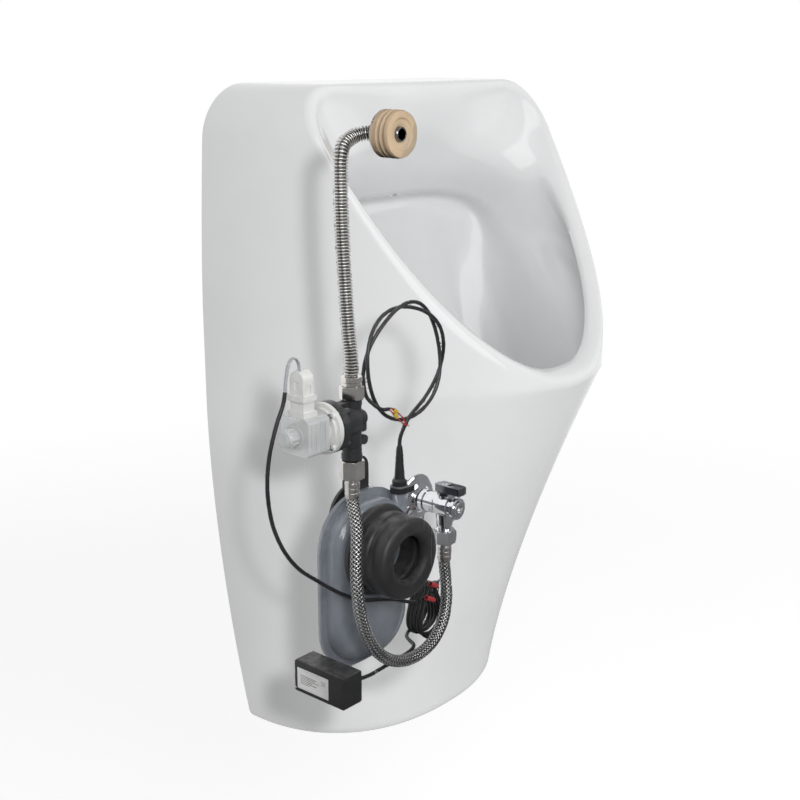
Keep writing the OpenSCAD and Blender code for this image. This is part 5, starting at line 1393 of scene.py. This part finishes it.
def make_floor():
    """A gently uneven sheet: its height swings by a tenth of a millimetre."""
    n = FLOOR_POINTS
    u = np.linspace(-FLOOR_SIZE / 2, FLOOR_SIZE / 2, n)
    gx, gy = np.meshgrid(u, u)
    gz = FLOOR_Z + 0.0001 * np.sin(3 * gx) * np.cos(2.6 * gy)
    j, i = np.meshgrid(np.arange(n - 1), np.arange(n - 1), indexing="ij")
    a = (j * n + i).ravel()
    quads = np.stack([a, a + 1, a + n + 1, a + n], 1).tolist()
    return mesh_object("floor", np.stack([gx, gy, gz], -1), quads)


floor = make_floor()
material = bpy.data.materials.new("pale_floor")
material.use_nodes = True
tree = material.node_tree
tree.nodes.clear()
output = tree.nodes.new("ShaderNodeOutputMaterial")
matt = tree.nodes.new("ShaderNodeBsdfDiffuse")
glow = tree.nodes.new("ShaderNodeEmission")
clear_shader = tree.nodes.new("ShaderNodeBsdfTransparent")
path_kind = tree.nodes.new("ShaderNodeLightPath")
add, mix = tree.nodes.new("ShaderNodeAddShader"), tree.nodes.new("ShaderNodeMixShader")
where = object_coordinates(tree)
tint = blend_colours(tree, noise(tree, where, 6.0), (0.80, 0.80, 0.80), (0.78, 0.78, 0.78))
tree.links.new(tint, matt.inputs["Color"])
glow.inputs["Color"].default_value = (1, 1, 1, 1)
tree.links.new(calc(tree, "MULTIPLY", path_kind.outputs["Is Camera Ray"], GLOW),
               glow.inputs["Strength"])
length = tree.nodes.new("ShaderNodeVectorMath")
length.operation = "LENGTH"
flatten = tree.nodes.new("ShaderNodeVectorMath")
flatten.operation = "MULTIPLY"
flatten.inputs[1].default_value = (1, 1, 0)
tree.links.new(where, flatten.inputs[0])
tree.links.new(flatten.outputs["Vector"], length.inputs[0])
tree.links.new(span(tree, length.outputs["Value"], *FLOOR_FADE), mix.inputs[0])
tree.links.new(matt.outputs[0], add.inputs[0])
tree.links.new(glow.outputs[0], add.inputs[1])
tree.links.new(add.outputs[0], mix.inputs[1])
tree.links.new(clear_shader.outputs[0], mix.inputs[2])
tree.links.new(mix.outputs[0], output.inputs["Surface"])
floor.data.materials.append(material)

# %% [markdown]
# The surroundings are white to the camera and in reflections, and dimmer as a light. A lamp
# lights either the china and the floor or the fittings, as the two are lit apart in the picture.

# %% Surroundings and lamps
AMBIENT = 0.54
world = bpy.data.worlds.new("surroundings")
bpy.context.scene.world = world
world.use_nodes = True
tree = world.node_tree
background = tree.nodes["Background"]
path_kind = tree.nodes.new("ShaderNodeLightPath")
seen = calc(tree, "MAXIMUM", path_kind.outputs["Is Camera Ray"],
            calc(tree, "MAXIMUM", path_kind.outputs["Is Glossy Ray"],
                 path_kind.outputs["Is Transmission Ray"]))
tree.links.new(span(tree, seen, 0.0, 1.0, AMBIENT, 1.0, smooth=False),
               background.inputs["Strength"])
background.inputs["Color"].default_value = (1, 1, 1, 1)


def lamp(name, place, target, size, power, only):
    """A soft square lamp, turned to a target, that lights the pieces of a collection and no
    others, and is shaded by them alone. size is in metres and power in watts."""
    data = bpy.data.lights.new(name, "AREA")
    data.shape, data.size, data.energy = "SQUARE", size, power
    obj = bpy.data.objects.new(name, data)
    obj.location = place
    obj.rotation_euler = (Vector(target) - Vector(place)).to_track_quat("-Z", "Y").to_euler()
    obj.visible_camera = False
    bpy.context.scene.collection.objects.link(obj)
    obj.light_linking.receiver_collection = only
    obj.light_linking.blocker_collection = only
    return obj


inside = bpy.data.collections.new("fittings_light")
for obj in fittings:
    inside.objects.link(obj)
outside = bpy.data.collections.new("china_light")
for obj in [obj for obj in pieces if obj not in fittings] + [floor]:
    outside.objects.link(obj)
MIDDLE = (0.0, -0.10, -0.27)
BEHIND = (0.0, -0.04, -0.30)
KEY = (-0.95, -2.05, 0.55)
lamps = [
    lamp("key", KEY, MIDDLE, 2.2, 26.0, outside),
    lamp("fill", (1.6, -1.2, 0.3), MIDDLE, 1.6, 3.0, outside),
    lamp("top", (0.1, -0.5, 1.6), MIDDLE, 1.4, 1.0, outside),
    lamp("fittings_key", KEY, BEHIND, 1.0, 20.0, inside),
    lamp("fittings_left", (-1.0, -0.75, 0.5), BEHIND, 0.7, 7.0, inside),
    lamp("fittings_right", (0.5, -1.1, 0.3), BEHIND, 0.7, 4.0, inside),
]
bpy.context.scene.view_settings.view_transform = "Standard"
print("lamps", len(lamps))
